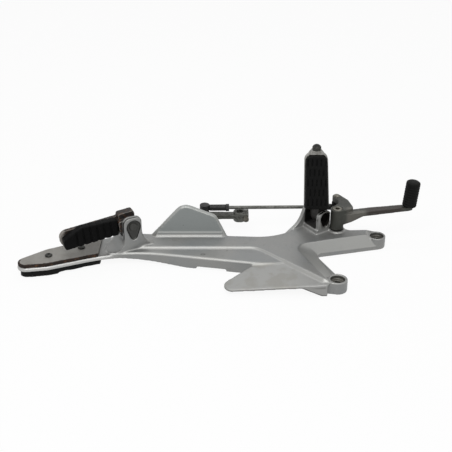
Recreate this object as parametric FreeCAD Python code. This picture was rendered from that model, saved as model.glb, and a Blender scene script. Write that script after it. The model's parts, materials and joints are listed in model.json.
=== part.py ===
"""Left footrest hanger of a motorcycle, with both folding footrests and the gear shift linkage.

Millimetres. The hanger lies on its inboard side, as on a bench. The origin is the upper front bolt
hole on the inboard mounting face, +Z points outboard along the bolts, +X to the front of the
machine and +Y to the ground.
"""

import FreeCAD, Part
import math
import os

V = FreeCAD.Vector

# Clearances, and how far a cut runs past a face and a rising form sinks into its base
RUNNING = 0.05
SEAT = 0.03
SIDE_PLAY = 0.4
FIT_GAP = 0.3
OVERCUT = 1.0
SINK = 1.0

# Casting levels above the mounting face
BOSS_HEIGHT = 17.0
TERRACE_Z = 21.0
TERRACE_STEP = 3.0
SHOULDER_BEVEL = 2.5
CASTING_WALL = 5.0
SKIN = 5.0

# Ribs across the hollow back, the relief along its near edge and the slope up to the tongue
RIB_THICKNESS = 4.0
BEAM_RIBS = [-255.0, -215.0, -175.0, -135.0, -95.0]
HEAD_RIB_X = -34.0
HEAD_RIB_Y = 88.0
HEAD_RIB_ANGLES = [20.0, 118.0]
HEAD_RIB_REACH = 90.0
RELIEF_START_X = -184.0
RELIEF_END_X = -144.0
RELIEF_HEIGHT = 3.0
BELLY_FRONT_X = -200.0
BELLY_BACK_X = -287.0

# Front mounting bolts, the upper one at the origin
LOWER_BOLT_X = 66.5
LOWER_BOLT_Y = 115.5
BOLT_HOLE_RADIUS = 4.5
BOLT_SEAT_RADIUS = 9.5
BOLT_SEAT_DEPTH = 6.0
UPPER_BOSS_WALL = 3.5
LOWER_BOSS_WALL = 2.5

# Hinge pins, of one kind on both footrests
HINGE_PIN_RADIUS = 4.0
PIN_HEAD_LIP = 2.0
PIN_HEAD_TAPER = 1.2
PIN_HEAD_HEIGHT = 2.2
PIN_RECESS_DEPTH = 3.0
PIN_TAIL = 1.4
CLIP_THICKNESS = 1.2
CLIP_LIP = 2.5
CLIP_GROOVE_DEPTH = 0.8
CLIP_MOUTH = 5.2

# Rider footrest hinge; its axis runs in the XY plane at this angle from +X
RIDER_X = -15.7
RIDER_Y = 132.2
RIDER_RISE = 21.0
RIDER_ANGLE = -56.6
RIDER_SLOT = 24.0
RIDER_EAR = 6.0
RIDER_EAR_WALL = 7.3
RIDER_EAR_BACK = 13.0
RIDER_EAR_SHOULDER = 8.2
RIDER_EAR_CORNER = 3.5
RIDER_FAR_SHIFT = 4.0
RIDER_GUSSET = 30.0
RIDER_RECESS_RIM = 2.8
RIDER_RECESS_DROP = 10.0
RIDER_RECESS_TIP = 4.0
RIDER_FLOOR_DROP = 15.0
RIDER_ROOT_WALL = 6.0
ROOT_TOP_FRONT = 4.0
ROOT_TOP_BACK = 8.0

# Return spring on the rider hinge pin
SPRING_WIRE_RADIUS = 0.9
SPRING_COIL_GAP = 0.2
SPRING_TURNS = 3
SPRING_SIDE_GAP = 0.5

# Passenger footrest hinge
PASSENGER_X = -275.5
PASSENGER_Y = 89.5
PASSENGER_RISE = 31.0
PASSENGER_ANGLE = -65.0
PASSENGER_SLOT = 20.0
PASSENGER_EAR = 8.0
PASSENGER_EAR_LEFT = 14.0
PASSENGER_EAR_RIGHT = 11.5
PASSENGER_FRONT_TOP = 14.0
PASSENGER_REAR_TOP = 9.5
PASSENGER_SOFT_CORNER = 9.0
PASSENGER_CRISP_CORNER = 6.5
PASSENGER_FRONT_FLARE = 26.0
PASSENGER_REAR_FLARE = 16.0
PASSENGER_RAMP = 18.0
PASSENGER_RECESS_RIM = 1.5
PASSENGER_RECESS_DROP = 14.0
PASSENGER_RECESS_TIP = 5.0
PASSENGER_FLOOR_DROP = 16.0
PASSENGER_ROOT_WALL = 6.0
PASSENGER_FOLD = 95.0

# Heel plate beside the diagonal ridge, with a skirt that runs down beside the upper boss
HEEL_PLATE_THICKNESS = 3.4
HEEL_PLATE_TILT = 5.5
HEEL_SLAB = 300.0
SKIRT_DROP = 2.0
SKIRT_FRONT_X = -14.0
SKIRT_FOOT_X = -22.0
SKIRT_BACK_X = -50.0
SKIRT_NEAR_Y = -16.5
SKIRT_FAR_Y = -8.0

# Ankle wing on the far edge of the beam
ANKLE_WING_THICKNESS = 4.5
ANKLE_WING_BEVEL = 3.0
ANKLE_WING_LEAN = 12.0
ANKLE_WING_SETBACK = 3.5
ANKLE_WING_FILLET = 6.5
ANKLE_FOOT_START_X = -241.0
ANKLE_FOOT_END_X = -150.0

# Rear tongue with its cover plate and rubber pad; their lengths run back from the passenger hinge
TONGUE_TOP_Z = 16.0
TONGUE_THICKNESS = 6.0
TONGUE_BEVEL = 2.5
COVER_THICKNESS = 4.0
COVER_INSET = 0.8
COVER_START = 40.5
PAD_INSET = 2.5
PAD_START = 38.5
PAD_FOOT_START = 92.5
PAD_STEP = 1.6
SCREW_RADIUS = 2.5
SCREW_GRIP = 5.0
SCREW_HEAD_LIP = 2.5
SCREW_HEAD_HEIGHT = 2.4
SCREW_HEAD_EDGE = 1.2
SCREW_CROWN_RADIUS = 3.2
SCREW_HEX = 3.5
SCREW_HEX_DEPTH = 1.6

# Rider footrest, which leans back a little and narrows to its tip; placed from its hinge
PEG_RISE = 14.7
PEG_LENGTH = 83.8
PEG_FOOT_SHIFT = -3.9
PEG_TIP_SHIFT = -7.3
PEG_FOOT_WIDTH = 34.5
PEG_TIP_WIDTH = 31.5
PEG_SETBACK = 7.7
PEG_TRAY_DEPTH = 8.0
PEG_RIM = 1.6
PEG_POCKET_DEPTH = 5.0
PEG_SPINE_WIDTH = 16.0
PEG_SPINE_DEPTH = 8.0
PEG_SPINE_DROP = 6.0
PEG_TIP_CORNER = 10.0
PEG_FOOT_CORNER = 4.0
NECK_HEIGHT = 4.5
NECK_BASE_WIDTH = 21.0
FEELER_RADIUS = 6.0
FEELER_HEIGHT = 8.0
FEELER_CROWN_RADIUS = 6.5
FEELER_STUD_RADIUS = 3.0
TREAD_HEIGHT = 4.0
TREAD_BEVEL = 1.2
TREAD_SLOT_WIDTH = 1.4
TREAD_SLOT_LENGTH = 11.0
TREAD_SLOT_DEPTH = 1.5
TREAD_SLOT_PITCH = 6.0
TREAD_ROW_PITCH = 15.0
TREAD_SCREW_RADIUS = 2.5
TREAD_SCREW_HEAD_LIP = 2.0
TREAD_SCREW_HEAD_HEIGHT = 2.5
TREAD_SCREW_GRIP = 3.5
TREAD_SCREW_SPREAD = 48.0

# Passenger footrest, measured upright from its hinge
PADDLE_THICKNESS = 6.0
PADDLE_BACK = -9.5
PADDLE_WIDTH = 24.0
PADDLE_START = 12.0
PADDLE_END = 96.5
PADDLE_CORNER = 10.0
PADDLE_FOOT_CORNER = 3.0
PADDLE_NECK_STEP = 3.0
HEEL_START = -8.0
HEEL_END = 15.0
HEEL_HEIGHT = 17.0
HEEL_FACE = 3.0
SLEEVE_START = 18.0
SLEEVE_SETBACK = 2.0
SLEEVE_LOW = -11.0
SLEEVE_HIGH = 13.5
SLEEVE_RISE = 2.8
SLEEVE_STEP = 68.0
SLEEVE_DEPTH = 13.0
SLEEVE_BEVEL = 1.5
SLEEVE_GROOVE_PITCH = 9.6
SLEEVE_GROOVE_WIDTH = 1.6
SLEEVE_GROOVE_DEPTH = 2.0

# Gear lever pivot: a shouldered bolt with a bush, a washer and a dust ring
PIVOT_X = 10.5
PIVOT_Y = 124.0
PIVOT_SHOULDER_RADIUS = 5.0
PIVOT_SHOULDER_STEP = 1.0
PIVOT_THREAD_DEPTH = 19.0
PIVOT_HEAD_LIP = 1.8
PIVOT_HEAD_HEIGHT = 5.0
PIVOT_HEAD_EDGE = 0.5
PIVOT_HEX = 6.0
PIVOT_HEX_DEPTH = 3.0
PIVOT_RING_HEIGHT = 2.0
PIVOT_RING_LEDGE = 2.2
PIVOT_BOSS_LEDGE = 1.3
LEVER_BUSH_WALL = 1.5
LEVER_WASHER = 1.2
LEVER_SEAL_WIDTH = 1.4

# Gear lever: boss, hooked arm to the rod, and toe arm with its rubber; reaches run from the pivot
LEVER_BOSS_WALL = 2.4
LEVER_BOSS_HEIGHT = 30.0
LEVER_BOSS_RELIEF = 0.5
HOOK_THICKNESS = 8.0
HOOK_DROP = 1.0
HOOK_REACH_X = 3.0
HOOK_REACH_Y = 41.0
HOOK_END_RADIUS = 6.0
TOE_REACH_X = 102.5
TOE_REACH_Y = 18.0
TOE_ARM_DROP = 5.0
TOE_ARM_THICKNESS = 5.5
TOE_ARM_ROOT_STEP = 1.5
TOE_ARM_OVERHANG = 2.0
TOE_WEB_RISE = 5.0
TOE_LEAN = 5.0
TOE_EYE_WALL = 1.5
TOE_PIN_RADIUS = 4.0
TOE_PIN_DEPTH = 4.0
TOE_RUBBER_GAP = 0.6
TOE_RUBBER_RADIUS = 10.0
TOE_RUBBER_LENGTH = 38.5
TOE_RUBBER_END = 6.5
TOE_RUBBER_CAP = 4.0
TOE_RIB_PITCH = 3.4
TOE_RIB_DEPTH = 0.7

# Shift rod with a ball joint at each end
ROD_LENGTH = 188.5
ROD_ANGLE = 180.9
ROD_RADIUS = 2.5
ROD_THREAD_DEPTH = 12.0
BALL_RADIUS = 4.2
BALL_PROUD = 0.8
BALL_NECK_STEP = 1.6
STUD_STEP = 1.0
STUD_COLLAR = 0.6
STUD_HEAD_LIP = 1.0
STUD_HEAD_HEIGHT = 1.4
HOUSING_WALL = 2.8
SHANK_WALL = 2.0
SHANK_LENGTH = 30.0
NUT_WALL = 2.0
NUT_HEIGHT = 5.0
BOOT_HEIGHT = 6.1
BOOT_WALL = 1.2
BOOT_LEDGE = 1.0
BOOT_BULGE = 0.6

# Gearbox shift arm with its split clamp
ARM_LENGTH = 50.0
ARM_ANGLE = 0.0
ARM_THICKNESS = 6.0
ARM_EYE_WALL = 3.4
ARM_TAPER = 1.0
CLAMP_BORE_RADIUS = 5.0
CLAMP_WALL = 4.0
CLAMP_HEIGHT = 14.0
CLAMP_SLIT = 2.0
CLAMP_LUG_STEP = 1.5
PINCH_BOLT_RADIUS = 2.5
PINCH_WALL = 1.5
PINCH_TAIL = 2.0
PINCH_HEAD_LIP = 1.7
PINCH_HEAD_HEIGHT = 4.0

# Sizes and levels that follow from the ones above
SHOULDER_Z = TERRACE_Z - TERRACE_STEP
UPPER_BOSS_RADIUS = BOLT_SEAT_RADIUS + UPPER_BOSS_WALL
LOWER_BOSS_RADIUS = BOLT_SEAT_RADIUS + LOWER_BOSS_WALL
PIN_HEAD_RADIUS = HINGE_PIN_RADIUS + PIN_HEAD_LIP
CLIP_BORE = HINGE_PIN_RADIUS - CLIP_GROOVE_DEPTH + SEAT
RIDER_Z = TERRACE_Z + RIDER_RISE
RIDER_EAR_RADIUS = HINGE_PIN_RADIUS + RIDER_EAR_WALL
RIDER_EAR_FACE = RIDER_SLOT / 2 + RIDER_EAR
RIDER_ROOT_RADIUS = HINGE_PIN_RADIUS + RIDER_ROOT_WALL
SPRING_COIL_RADIUS = HINGE_PIN_RADIUS + FIT_GAP + SPRING_WIRE_RADIUS
SPRING_PITCH = 2 * SPRING_WIRE_RADIUS + SPRING_COIL_GAP
SPRING_START = -RIDER_SLOT / 2 + SPRING_SIDE_GAP + SPRING_WIRE_RADIUS
SPRING_END = SPRING_START + SPRING_TURNS * SPRING_PITCH
PASSENGER_Z = TERRACE_Z + PASSENGER_RISE
PASSENGER_EAR_FACE = PASSENGER_SLOT / 2 + PASSENGER_EAR
PASSENGER_ROOT_RADIUS = HINGE_PIN_RADIUS + PASSENGER_ROOT_WALL
TONGUE_BASE_Z = TONGUE_TOP_Z - TONGUE_THICKNESS
COVER_TOP_Z = TONGUE_TOP_Z + COVER_THICKNESS
COVER_START_X = PASSENGER_X - COVER_START
PAD_START_X = PASSENGER_X - PAD_START
PAD_FOOT_X = PASSENGER_X - PAD_FOOT_START
SCREW_HEAD_RADIUS = SCREW_RADIUS + SCREW_HEAD_LIP
PEG_FOOT_X = RIDER_X + PEG_FOOT_SHIFT
PEG_TIP_X = RIDER_X + PEG_TIP_SHIFT
PEG_BOTTOM_Z = RIDER_Z + PEG_RISE
PEG_TOP_Z = PEG_BOTTOM_Z + PEG_LENGTH
PEG_BACK_Y = RIDER_Y - PEG_SETBACK
PEG_FRONT_Y = PEG_BACK_Y - PEG_TRAY_DEPTH
PEG_AXIS_Y = PEG_BACK_Y - PEG_TRAY_DEPTH / 2
PEG_SPINE_Y = PEG_BACK_Y + PEG_SPINE_DEPTH
PEG_MIDDLE_Z = PEG_BOTTOM_Z + PEG_LENGTH / 2
TREAD_FRONT_Y = PEG_FRONT_Y - TREAD_HEIGHT
TREAD_BACK_Y = PEG_FRONT_Y + PEG_POCKET_DEPTH
TREAD_GRIP_Y = TREAD_BACK_Y - TREAD_SCREW_GRIP
TREAD_SCREW_HEIGHTS = [PEG_MIDDLE_Z - TREAD_SCREW_SPREAD / 2, PEG_MIDDLE_Z + TREAD_SCREW_SPREAD / 2]
PADDLE_FACE = PADDLE_BACK + PADDLE_THICKNESS
SLEEVE_END = PADDLE_END - SLEEVE_SETBACK
SLEEVE_FACE = PADDLE_FACE + SLEEVE_DEPTH
PIVOT_THREAD_RADIUS = PIVOT_SHOULDER_RADIUS - PIVOT_SHOULDER_STEP
PIVOT_HEAD_RADIUS = PIVOT_SHOULDER_RADIUS + PIVOT_HEAD_LIP
LEVER_BOSS_RADIUS = PIVOT_HEAD_RADIUS + FIT_GAP + LEVER_BOSS_WALL
PIVOT_RING_RADIUS = LEVER_BOSS_RADIUS + PIVOT_RING_LEDGE
PIVOT_BOSS_RADIUS = PIVOT_RING_RADIUS + PIVOT_BOSS_LEDGE
LEVER_SEAL_RADIUS = LEVER_BOSS_RADIUS - FIT_GAP
LEVER_WASHER_RADIUS = LEVER_SEAL_RADIUS - LEVER_SEAL_WIDTH
BUSH_BORE = PIVOT_SHOULDER_RADIUS + RUNNING
BUSH_RADIUS = BUSH_BORE + LEVER_BUSH_WALL
RING_Z = TERRACE_Z + PIVOT_RING_HEIGHT
WASHER_TOP_Z = RING_Z + LEVER_WASHER
LEVER_BASE_Z = WASHER_TOP_Z + FIT_GAP
LEVER_TOP_Z = LEVER_BASE_Z + LEVER_BOSS_HEIGHT
HEAD_SEAT_Z = LEVER_TOP_Z - PIVOT_HEAD_HEIGHT
HOOK_TOP_Z = LEVER_TOP_Z - HOOK_DROP
HOOK_BASE_Z = HOOK_TOP_Z - HOOK_THICKNESS
TOE_X = PIVOT_X + TOE_REACH_X
TOE_Y = PIVOT_Y + TOE_REACH_Y
TOE_EYE_RADIUS = TOE_PIN_RADIUS + TOE_EYE_WALL
TOE_ARM_TOP_Z = LEVER_TOP_Z - TOE_ARM_DROP
TOE_ARM_BASE_Z = TOE_ARM_TOP_Z - TOE_ARM_THICKNESS
TOE_PIN_TOP = TOE_RUBBER_LENGTH - TOE_RUBBER_END
FRONT_BALL_X = PIVOT_X + HOOK_REACH_X
FRONT_BALL_Y = PIVOT_Y + HOOK_REACH_Y
BALL_NECK_RADIUS = BALL_RADIUS - BALL_NECK_STEP
STUD_RADIUS = BALL_NECK_RADIUS + STUD_STEP
STUD_HEAD_RADIUS = STUD_RADIUS + STUD_HEAD_LIP
HOUSING_RADIUS = BALL_RADIUS + HOUSING_WALL
HOUSING_TOP = BALL_RADIUS - BALL_PROUD
HOUSING_BASE = HOUSING_TOP - 2 * BALL_RADIUS
BALL_OFFSET = HOUSING_TOP + BOOT_HEIGHT
ROD_Z = HOOK_BASE_Z - BALL_OFFSET
SHANK_RADIUS = ROD_RADIUS + SHANK_WALL
NUT_ACROSS = 2 * (ROD_RADIUS + NUT_WALL)
ARM_TOP = -BALL_OFFSET
ARM_MIDDLE = ARM_TOP - ARM_THICKNESS / 2
ARM_EYE_RADIUS = STUD_RADIUS + ARM_EYE_WALL
CLAMP_RADIUS = CLAMP_BORE_RADIUS + CLAMP_WALL
PINCH_X = ARM_LENGTH + CLAMP_BORE_RADIUS + PINCH_WALL + PINCH_BOLT_RADIUS
CLAMP_END = PINCH_X + PINCH_BOLT_RADIUS + PINCH_WALL
PINCH_HEAD_RADIUS = PINCH_BOLT_RADIUS + PINCH_HEAD_LIP

# Plan outlines: circles (x, y, radius) wrapped by tangent lines, a negative radius turning inward.
# The diagonal ridge from the beam to the upper bolt lies on the line x + y = RIDGE_SUM.
RIDGE_SUM = -29.5
RIDGE_CORNER = 25.0
RIDGE_FOOT_X = -17.0
RIDGE_FOOT_RADIUS = 6.5
FOOT_NEAR_Y = 36.0
FOOT_CORNER = 6.0
BEAM_NEAR_Y = 74.0
BEAM_FAR_Y = 107.0
BEAM_FLARE_X = -100.0
BEAM_FLARE_RADIUS = 70.0
CROTCH_X = -12.0
CROTCH_Y = 76.0
CROTCH_RADIUS = 7.0
FORK_NEAR_SIDE = 4.0
FORK_FAR_SIDE = 13.3
FORK_TIP_RADIUS = 3.0
FORK_SETBACK = 5.0
FORK_REACH = 1.8
FORK_SLOPE = 13.0
FORK_TIP_REACH_X = 16.0
FORK_TIP_REACH_Y = 8.0
FORK_LOWER_Z = 6.0
ROOT_HALF = math.sqrt(0.5)


def ridge_bend(level_y, radius):
    """Inward circle that joins the line y = level_y to the diagonal ridge."""
    x = RIDGE_SUM - 2 * radius * ROOT_HALF - (level_y - radius)
    return (x, level_y - radius, -radius)


def inside_ridge(y, depth, radius):
    """Circle whose centre lies at this height in Y and this far past the ridge line along X."""
    return (RIDGE_SUM - y + depth, y, radius)


def from_passenger(x, y, radius):
    return (PASSENGER_X + x, PASSENGER_Y + y, radius)


def from_pivot(x, y, radius):
    return (PIVOT_X + x, PIVOT_Y + y, radius)


def beyond(x, y):
    """Point past (x, y) on the ray from the tip of the fork."""
    tip_x = CROTCH_X - FORK_SETBACK
    tip_y = CROTCH_Y + FORK_TIP_RADIUS
    return (tip_x + (x - tip_x) * FORK_REACH, tip_y + (y - tip_y) * FORK_REACH, 0.0)


RIB_REACH = 2 * BEAM_FAR_Y
RIDGE_FOOT = (RIDGE_FOOT_X, RIDGE_SUM - RIDGE_FOOT_X + 2 * ROOT_HALF * RIDGE_FOOT_RADIUS, RIDGE_FOOT_RADIUS)
UPPER_BOSS = (0.0, 0.0, UPPER_BOSS_RADIUS)
LOWER_BOSS = (LOWER_BOLT_X, LOWER_BOLT_Y, LOWER_BOSS_RADIUS)
HEAD_AND_FAR_SIDE = [
    RIDGE_FOOT,
    UPPER_BOSS,
    (CROTCH_X, CROTCH_Y, -CROTCH_RADIUS),
    LOWER_BOSS,
    from_pivot(20.5, 9.0, -7.0),
    (PIVOT_X, PIVOT_Y, PIVOT_BOSS_RADIUS),
    (RIDER_X - 7.3, RIDER_Y + 11.8, 9.0),
    (BEAM_FLARE_X, BEAM_FAR_Y + BEAM_FLARE_RADIUS, -BEAM_FLARE_RADIUS),
    from_passenger(-14.5, 14.5, 13.0),
]
NEAR_BAY = from_passenger(11.5, -205.5, -180.0)
BODY = [from_passenger(-20.5, -13.6, 14.0), NEAR_BAY, (-97.0, FOOT_NEAR_Y + 10.0, 10.0)]
BODY += [ridge_bend(FOOT_NEAR_Y, FOOT_CORNER)] + HEAD_AND_FAR_SIDE
TERRACE = [from_passenger(3.5, 6.5, 22.0), ridge_bend(BEAM_NEAR_Y, RIDGE_CORNER)] + HEAD_AND_FAR_SIDE
FORK_NEAR_END = beyond(FORK_NEAR_SIDE, 0.0)
FORK_FAR_END = beyond(LOWER_BOLT_X, LOWER_BOLT_Y - FORK_FAR_SIDE)
FORK = [
    (CROTCH_X - FORK_SETBACK, CROTCH_Y + FORK_TIP_RADIUS, FORK_TIP_RADIUS),
    FORK_NEAR_END,
    (FORK_FAR_END[0], FORK_NEAR_END[1], 0.0),
    FORK_FAR_END,
]
HEEL_PLATE = [
    (-134.5, -2.5, 12.5),
    inside_ridge(-11.5, 0.5, 5.5),
    inside_ridge(8.0, 13.5, 2.0),
    inside_ridge(54.0, -2.5, 4.0),
]
ANKLE_WING = [(-251.3, -2.8, 3.2), (-143.2, -2.8, 3.2), (-166.0, 25.0, 11.0), (-199.5, 30.0, 18.0)]
TONGUE = [
    from_passenger(-133.5, -51.0, 12.5),
    from_passenger(-109.5, -43.5, 16.0),
    NEAR_BAY,
    from_passenger(61.6, -21.0, 8.0),
    from_passenger(-17.5, 15.5, 13.0),
    from_passenger(-98.5, -39.5, 26.0),
]
SCREWS = [from_passenger(-106.5, -36.0, SCREW_RADIUS), from_passenger(-65.5, -14.5, SCREW_RADIUS)]
HOOK = [
    (PIVOT_X, PIVOT_Y, LEVER_BOSS_RADIUS),
    from_pivot(16.5, 7.0, 6.0),
    from_pivot(10.0, 25.0, 8.5),
    (FRONT_BALL_X, FRONT_BALL_Y, HOOK_END_RADIUS),
    from_pivot(-6.5, 23.0, -10.5),
]
TOE_ARM = [(PIVOT_X, PIVOT_Y, LEVER_BOSS_RADIUS - TOE_ARM_ROOT_STEP), (TOE_X, TOE_Y, TOE_EYE_RADIUS)]

# Side view of the toe arm: distance from the pivot, then depth below its underside or its top
TOE_ARM_WEB = [(20.0, 9.0), (36.0, 2.0)]
TOE_ARM_DIP = [(50.0, 0.5), (22.0, 2.0), (0.0, 1.0)]


# Geometry helpers
def belt(circles, z=0.0):
    """Closed wire of the tangent lines and arcs around a list of circles, anticlockwise."""
    count = len(circles)
    headings = []
    for i in range(count):
        x1, y1, r1 = circles[i]
        x2, y2, r2 = circles[(i + 1) % count]
        span = math.hypot(x2 - x1, y2 - y1)
        headings.append(math.atan2(y2 - y1, x2 - x1) + math.asin((r1 - r2) / span))

    def touch(i, heading):
        x, y, r = circles[i % count]
        return V(x + r * math.sin(heading), y - r * math.cos(heading), z)

    edges = []
    tiny = 1e-6
    for i in range(count):
        before = headings[i - 1]
        after = headings[i]
        radius = circles[i][2]
        turn = (after - before) % (2 * math.pi)
        if radius < 0:
            turn -= 2 * math.pi
        if abs(radius) > tiny and tiny < abs(turn) < 2 * math.pi - tiny:
            arc = Part.Arc(touch(i, before), touch(i, before + turn / 2), touch(i, after))
            edges.append(arc.toShape())
        edges.append(Part.makeLine(touch(i, after), touch(i + 1, after)))
    return Part.Wire(edges)


def inset(circles, distance):
    """The same outline moved inward by a distance."""
    return [(x, y, r - distance) for x, y, r in circles]


def prism(circles, z0, z1):
    return Part.Face(belt(circles, z0)).extrude(V(0, 0, z1 - z0))


def bevelled(circles, z0, z1, bevel):
    """Upright prism whose top edge is bevelled at 45 degrees."""
    wires = [belt(circles, z1 - bevel), belt(inset(circles, bevel), z1)]
    return prism(circles, z0, z1 - bevel).fuse(Part.makeLoft(wires, True, True))


def cylinder(x, y, radius, z0, z1):
    return Part.makeCylinder(radius, z1 - z0, V(x, y, z0))


def ring(x, y, inner, outer, z0, z1):
    return cylinder(x, y, outer, z0, z1).cut(cylinder(x, y, inner, z0 - OVERCUT, z1 + OVERCUT))


def box(x0, x1, y0, y1, z0, z1):
    return Part.makeBox(x1 - x0, y1 - y0, z1 - z0, V(x0, y0, z0))


def cone(x, y, r0, r1, z0, z1):
    return Part.makeCone(r0, r1, z1 - z0, V(x, y, z0))


def joined(shapes):
    return shapes[0].multiFuse(shapes[1:]).removeSplitter()


def without(shape, cuts):
    for cut in cuts:
        shape = shape.cut(cut)
    return shape


def placed(shape, placement):
    moved = shape.copy()
    moved.Placement = placement.multiply(moved.Placement)
    return moved


def turned(x, y, z, angle):
    """Placement at a point, turned about Z."""
    return FreeCAD.Placement(V(x, y, z), FreeCAD.Rotation(V(0, 0, 1), angle))


SIDEWAYS = FreeCAD.Rotation(V(1, 1, 1), 120.0)
FACING = FreeCAD.Rotation(V(1, 0, 0), 90.0)
OVER = FreeCAD.Rotation(V(1, 0, 0), 180.0)


def side_plate(circles, x0, x1):
    """Plate across X, from an outline given in (y, z)."""
    return placed(prism(circles, 0.0, x1 - x0), FreeCAD.Placement(V(x0, 0, 0), SIDEWAYS))


def front_plate(circles, y_back, y_front):
    """Plate across Y, from an outline given in (x, z)."""
    return placed(prism(circles, 0.0, y_back - y_front), FreeCAD.Placement(V(0, y_back, 0), FACING))


def along_x(radius, x0, x1):
    return Part.makeCylinder(radius, x1 - x0, V(x0, 0, 0), V(1, 0, 0))


def along_y(radius, x, z, y_back, y_front):
    return Part.makeCylinder(radius, y_back - y_front, V(x, y_back, z), V(0, -1, 0))


def revolved(profile):
    """Solid of revolution about Z from (radius, z) points."""
    points = [V(r, 0, z) for r, z in profile]
    face = Part.Face(Part.makePolygon(points + [points[0]]))
    return face.revolve(V(0, 0, 0), V(0, 0, 1), 360.0)


def hexagon(across, z0, z1):
    corner = across / math.sqrt(3.0)
    angles = [k * math.pi / 3 for k in range(7)]
    points = [V(corner * math.cos(a), corner * math.sin(a), z0) for a in angles]
    return Part.Face(Part.makePolygon(points)).extrude(V(0, 0, z1 - z0))


def rectangle(x0, x1, z0, z1):
    return [(x0, z0, 0.0), (x1, z0, 0.0), (x1, z1, 0.0), (x0, z1, 0.0)]


def rounded_box(x0, x1, z0, z1, low, high):
    """Outline circles of an upright rectangle with its own low and high corner radii."""
    return [
        (x0 + low, z0 + low, low),
        (x1 - low, z0 + low, low),
        (x1 - high, z1 - high, high),
        (x0 + high, z1 - high, high),
    ]


RIDER_PLACE = turned(RIDER_X, RIDER_Y, RIDER_Z, RIDER_ANGLE)
PASSENGER_PLACE = turned(PASSENGER_X, PASSENGER_Y, PASSENGER_Z, PASSENGER_ANGLE)
FOLD_TURN = FreeCAD.Placement(V(0, 0, 0), FreeCAD.Rotation(V(1, 0, 0), PASSENGER_FOLD))
FOLDED_PLACE = PASSENGER_PLACE.multiply(FOLD_TURN)
ROD_PLACE = turned(FRONT_BALL_X, FRONT_BALL_Y, ROD_Z, ROD_ANGLE)
ROD_FLIP = FreeCAD.Placement(V(ROD_LENGTH, 0, 0), FreeCAD.Rotation(V(0, 1, 0), 180.0))
REAR_BALL = ROD_PLACE.multVec(V(ROD_LENGTH, 0, 0))
ARM_PLACE = turned(REAR_BALL.x, REAR_BALL.y, ROD_Z, ARM_ANGLE)
TOE_PLACE = FreeCAD.Placement(V(TOE_X, TOE_Y, TOE_ARM_TOP_Z), FreeCAD.Rotation(V(0, 1, 0), TOE_LEAN))


# Hanger casting
def ear_recess(big_radius, drop, small_radius, face):
    """Teardrop pocket in the outer face of an ear, around the pin head."""
    outline = [(0.0, -drop, small_radius), (0.0, 0.0, big_radius)]
    return side_plate(outline, face - PIN_RECESS_DEPTH, face + OVERCUT)


def pin_hole(face):
    return along_x(HINGE_PIN_RADIUS + SEAT, -face - OVERCUT, face + OVERCUT)


def rider_clevis():
    """Two ears on a raised block, with the gusset that runs from the far ear down to the beam."""
    foot = SHOULDER_Z - SHOULDER_BEVEL - RIDER_Z
    radius = RIDER_EAR_RADIUS
    top = (0.0, 0.0, radius)
    corner = RIDER_EAR_CORNER
    shoulder = (corner - RIDER_EAR_BACK, RIDER_EAR_SHOULDER - corner, corner)
    near_ear = [(-RIDER_EAR_BACK, foot, 0.0), (radius, foot, 0.0), top, shoulder]
    back = -RIDER_FAR_SHIFT - radius
    far_top = (-RIDER_FAR_SHIFT, 0.0, radius)
    gusset_y = back - RIDER_GUSSET
    gusset_z = TERRACE_Z - SINK - RIDER_Z + RIDER_GUSSET
    far_ear = [(gusset_y, foot, 0.0), (radius, foot, 0.0), far_top, (gusset_y, gusset_z, -RIDER_GUSSET)]
    half = RIDER_SLOT / 2
    pieces = [
        side_plate(near_ear, half, RIDER_EAR_FACE),
        side_plate(far_ear, -RIDER_EAR_FACE, -half),
        side_plate(rectangle(back, radius, foot, -RIDER_FLOOR_DROP), -RIDER_EAR_FACE, RIDER_EAR_FACE),
    ]
    return placed(joined(pieces), RIDER_PLACE)


def rider_clevis_cuts():
    recess_radius = RIDER_EAR_RADIUS - RIDER_RECESS_RIM
    recess = ear_recess(recess_radius, RIDER_RECESS_DROP, RIDER_RECESS_TIP, RIDER_EAR_FACE)
    relief_radius = LEVER_BOSS_RADIUS + LEVER_BOSS_RELIEF
    lever_space = cylinder(PIVOT_X, PIVOT_Y, relief_radius, RING_Z, LEVER_TOP_Z + OVERCUT)
    return [placed(pin_hole(RIDER_EAR_FACE), RIDER_PLACE), placed(recess, RIDER_PLACE), lever_space]


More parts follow.
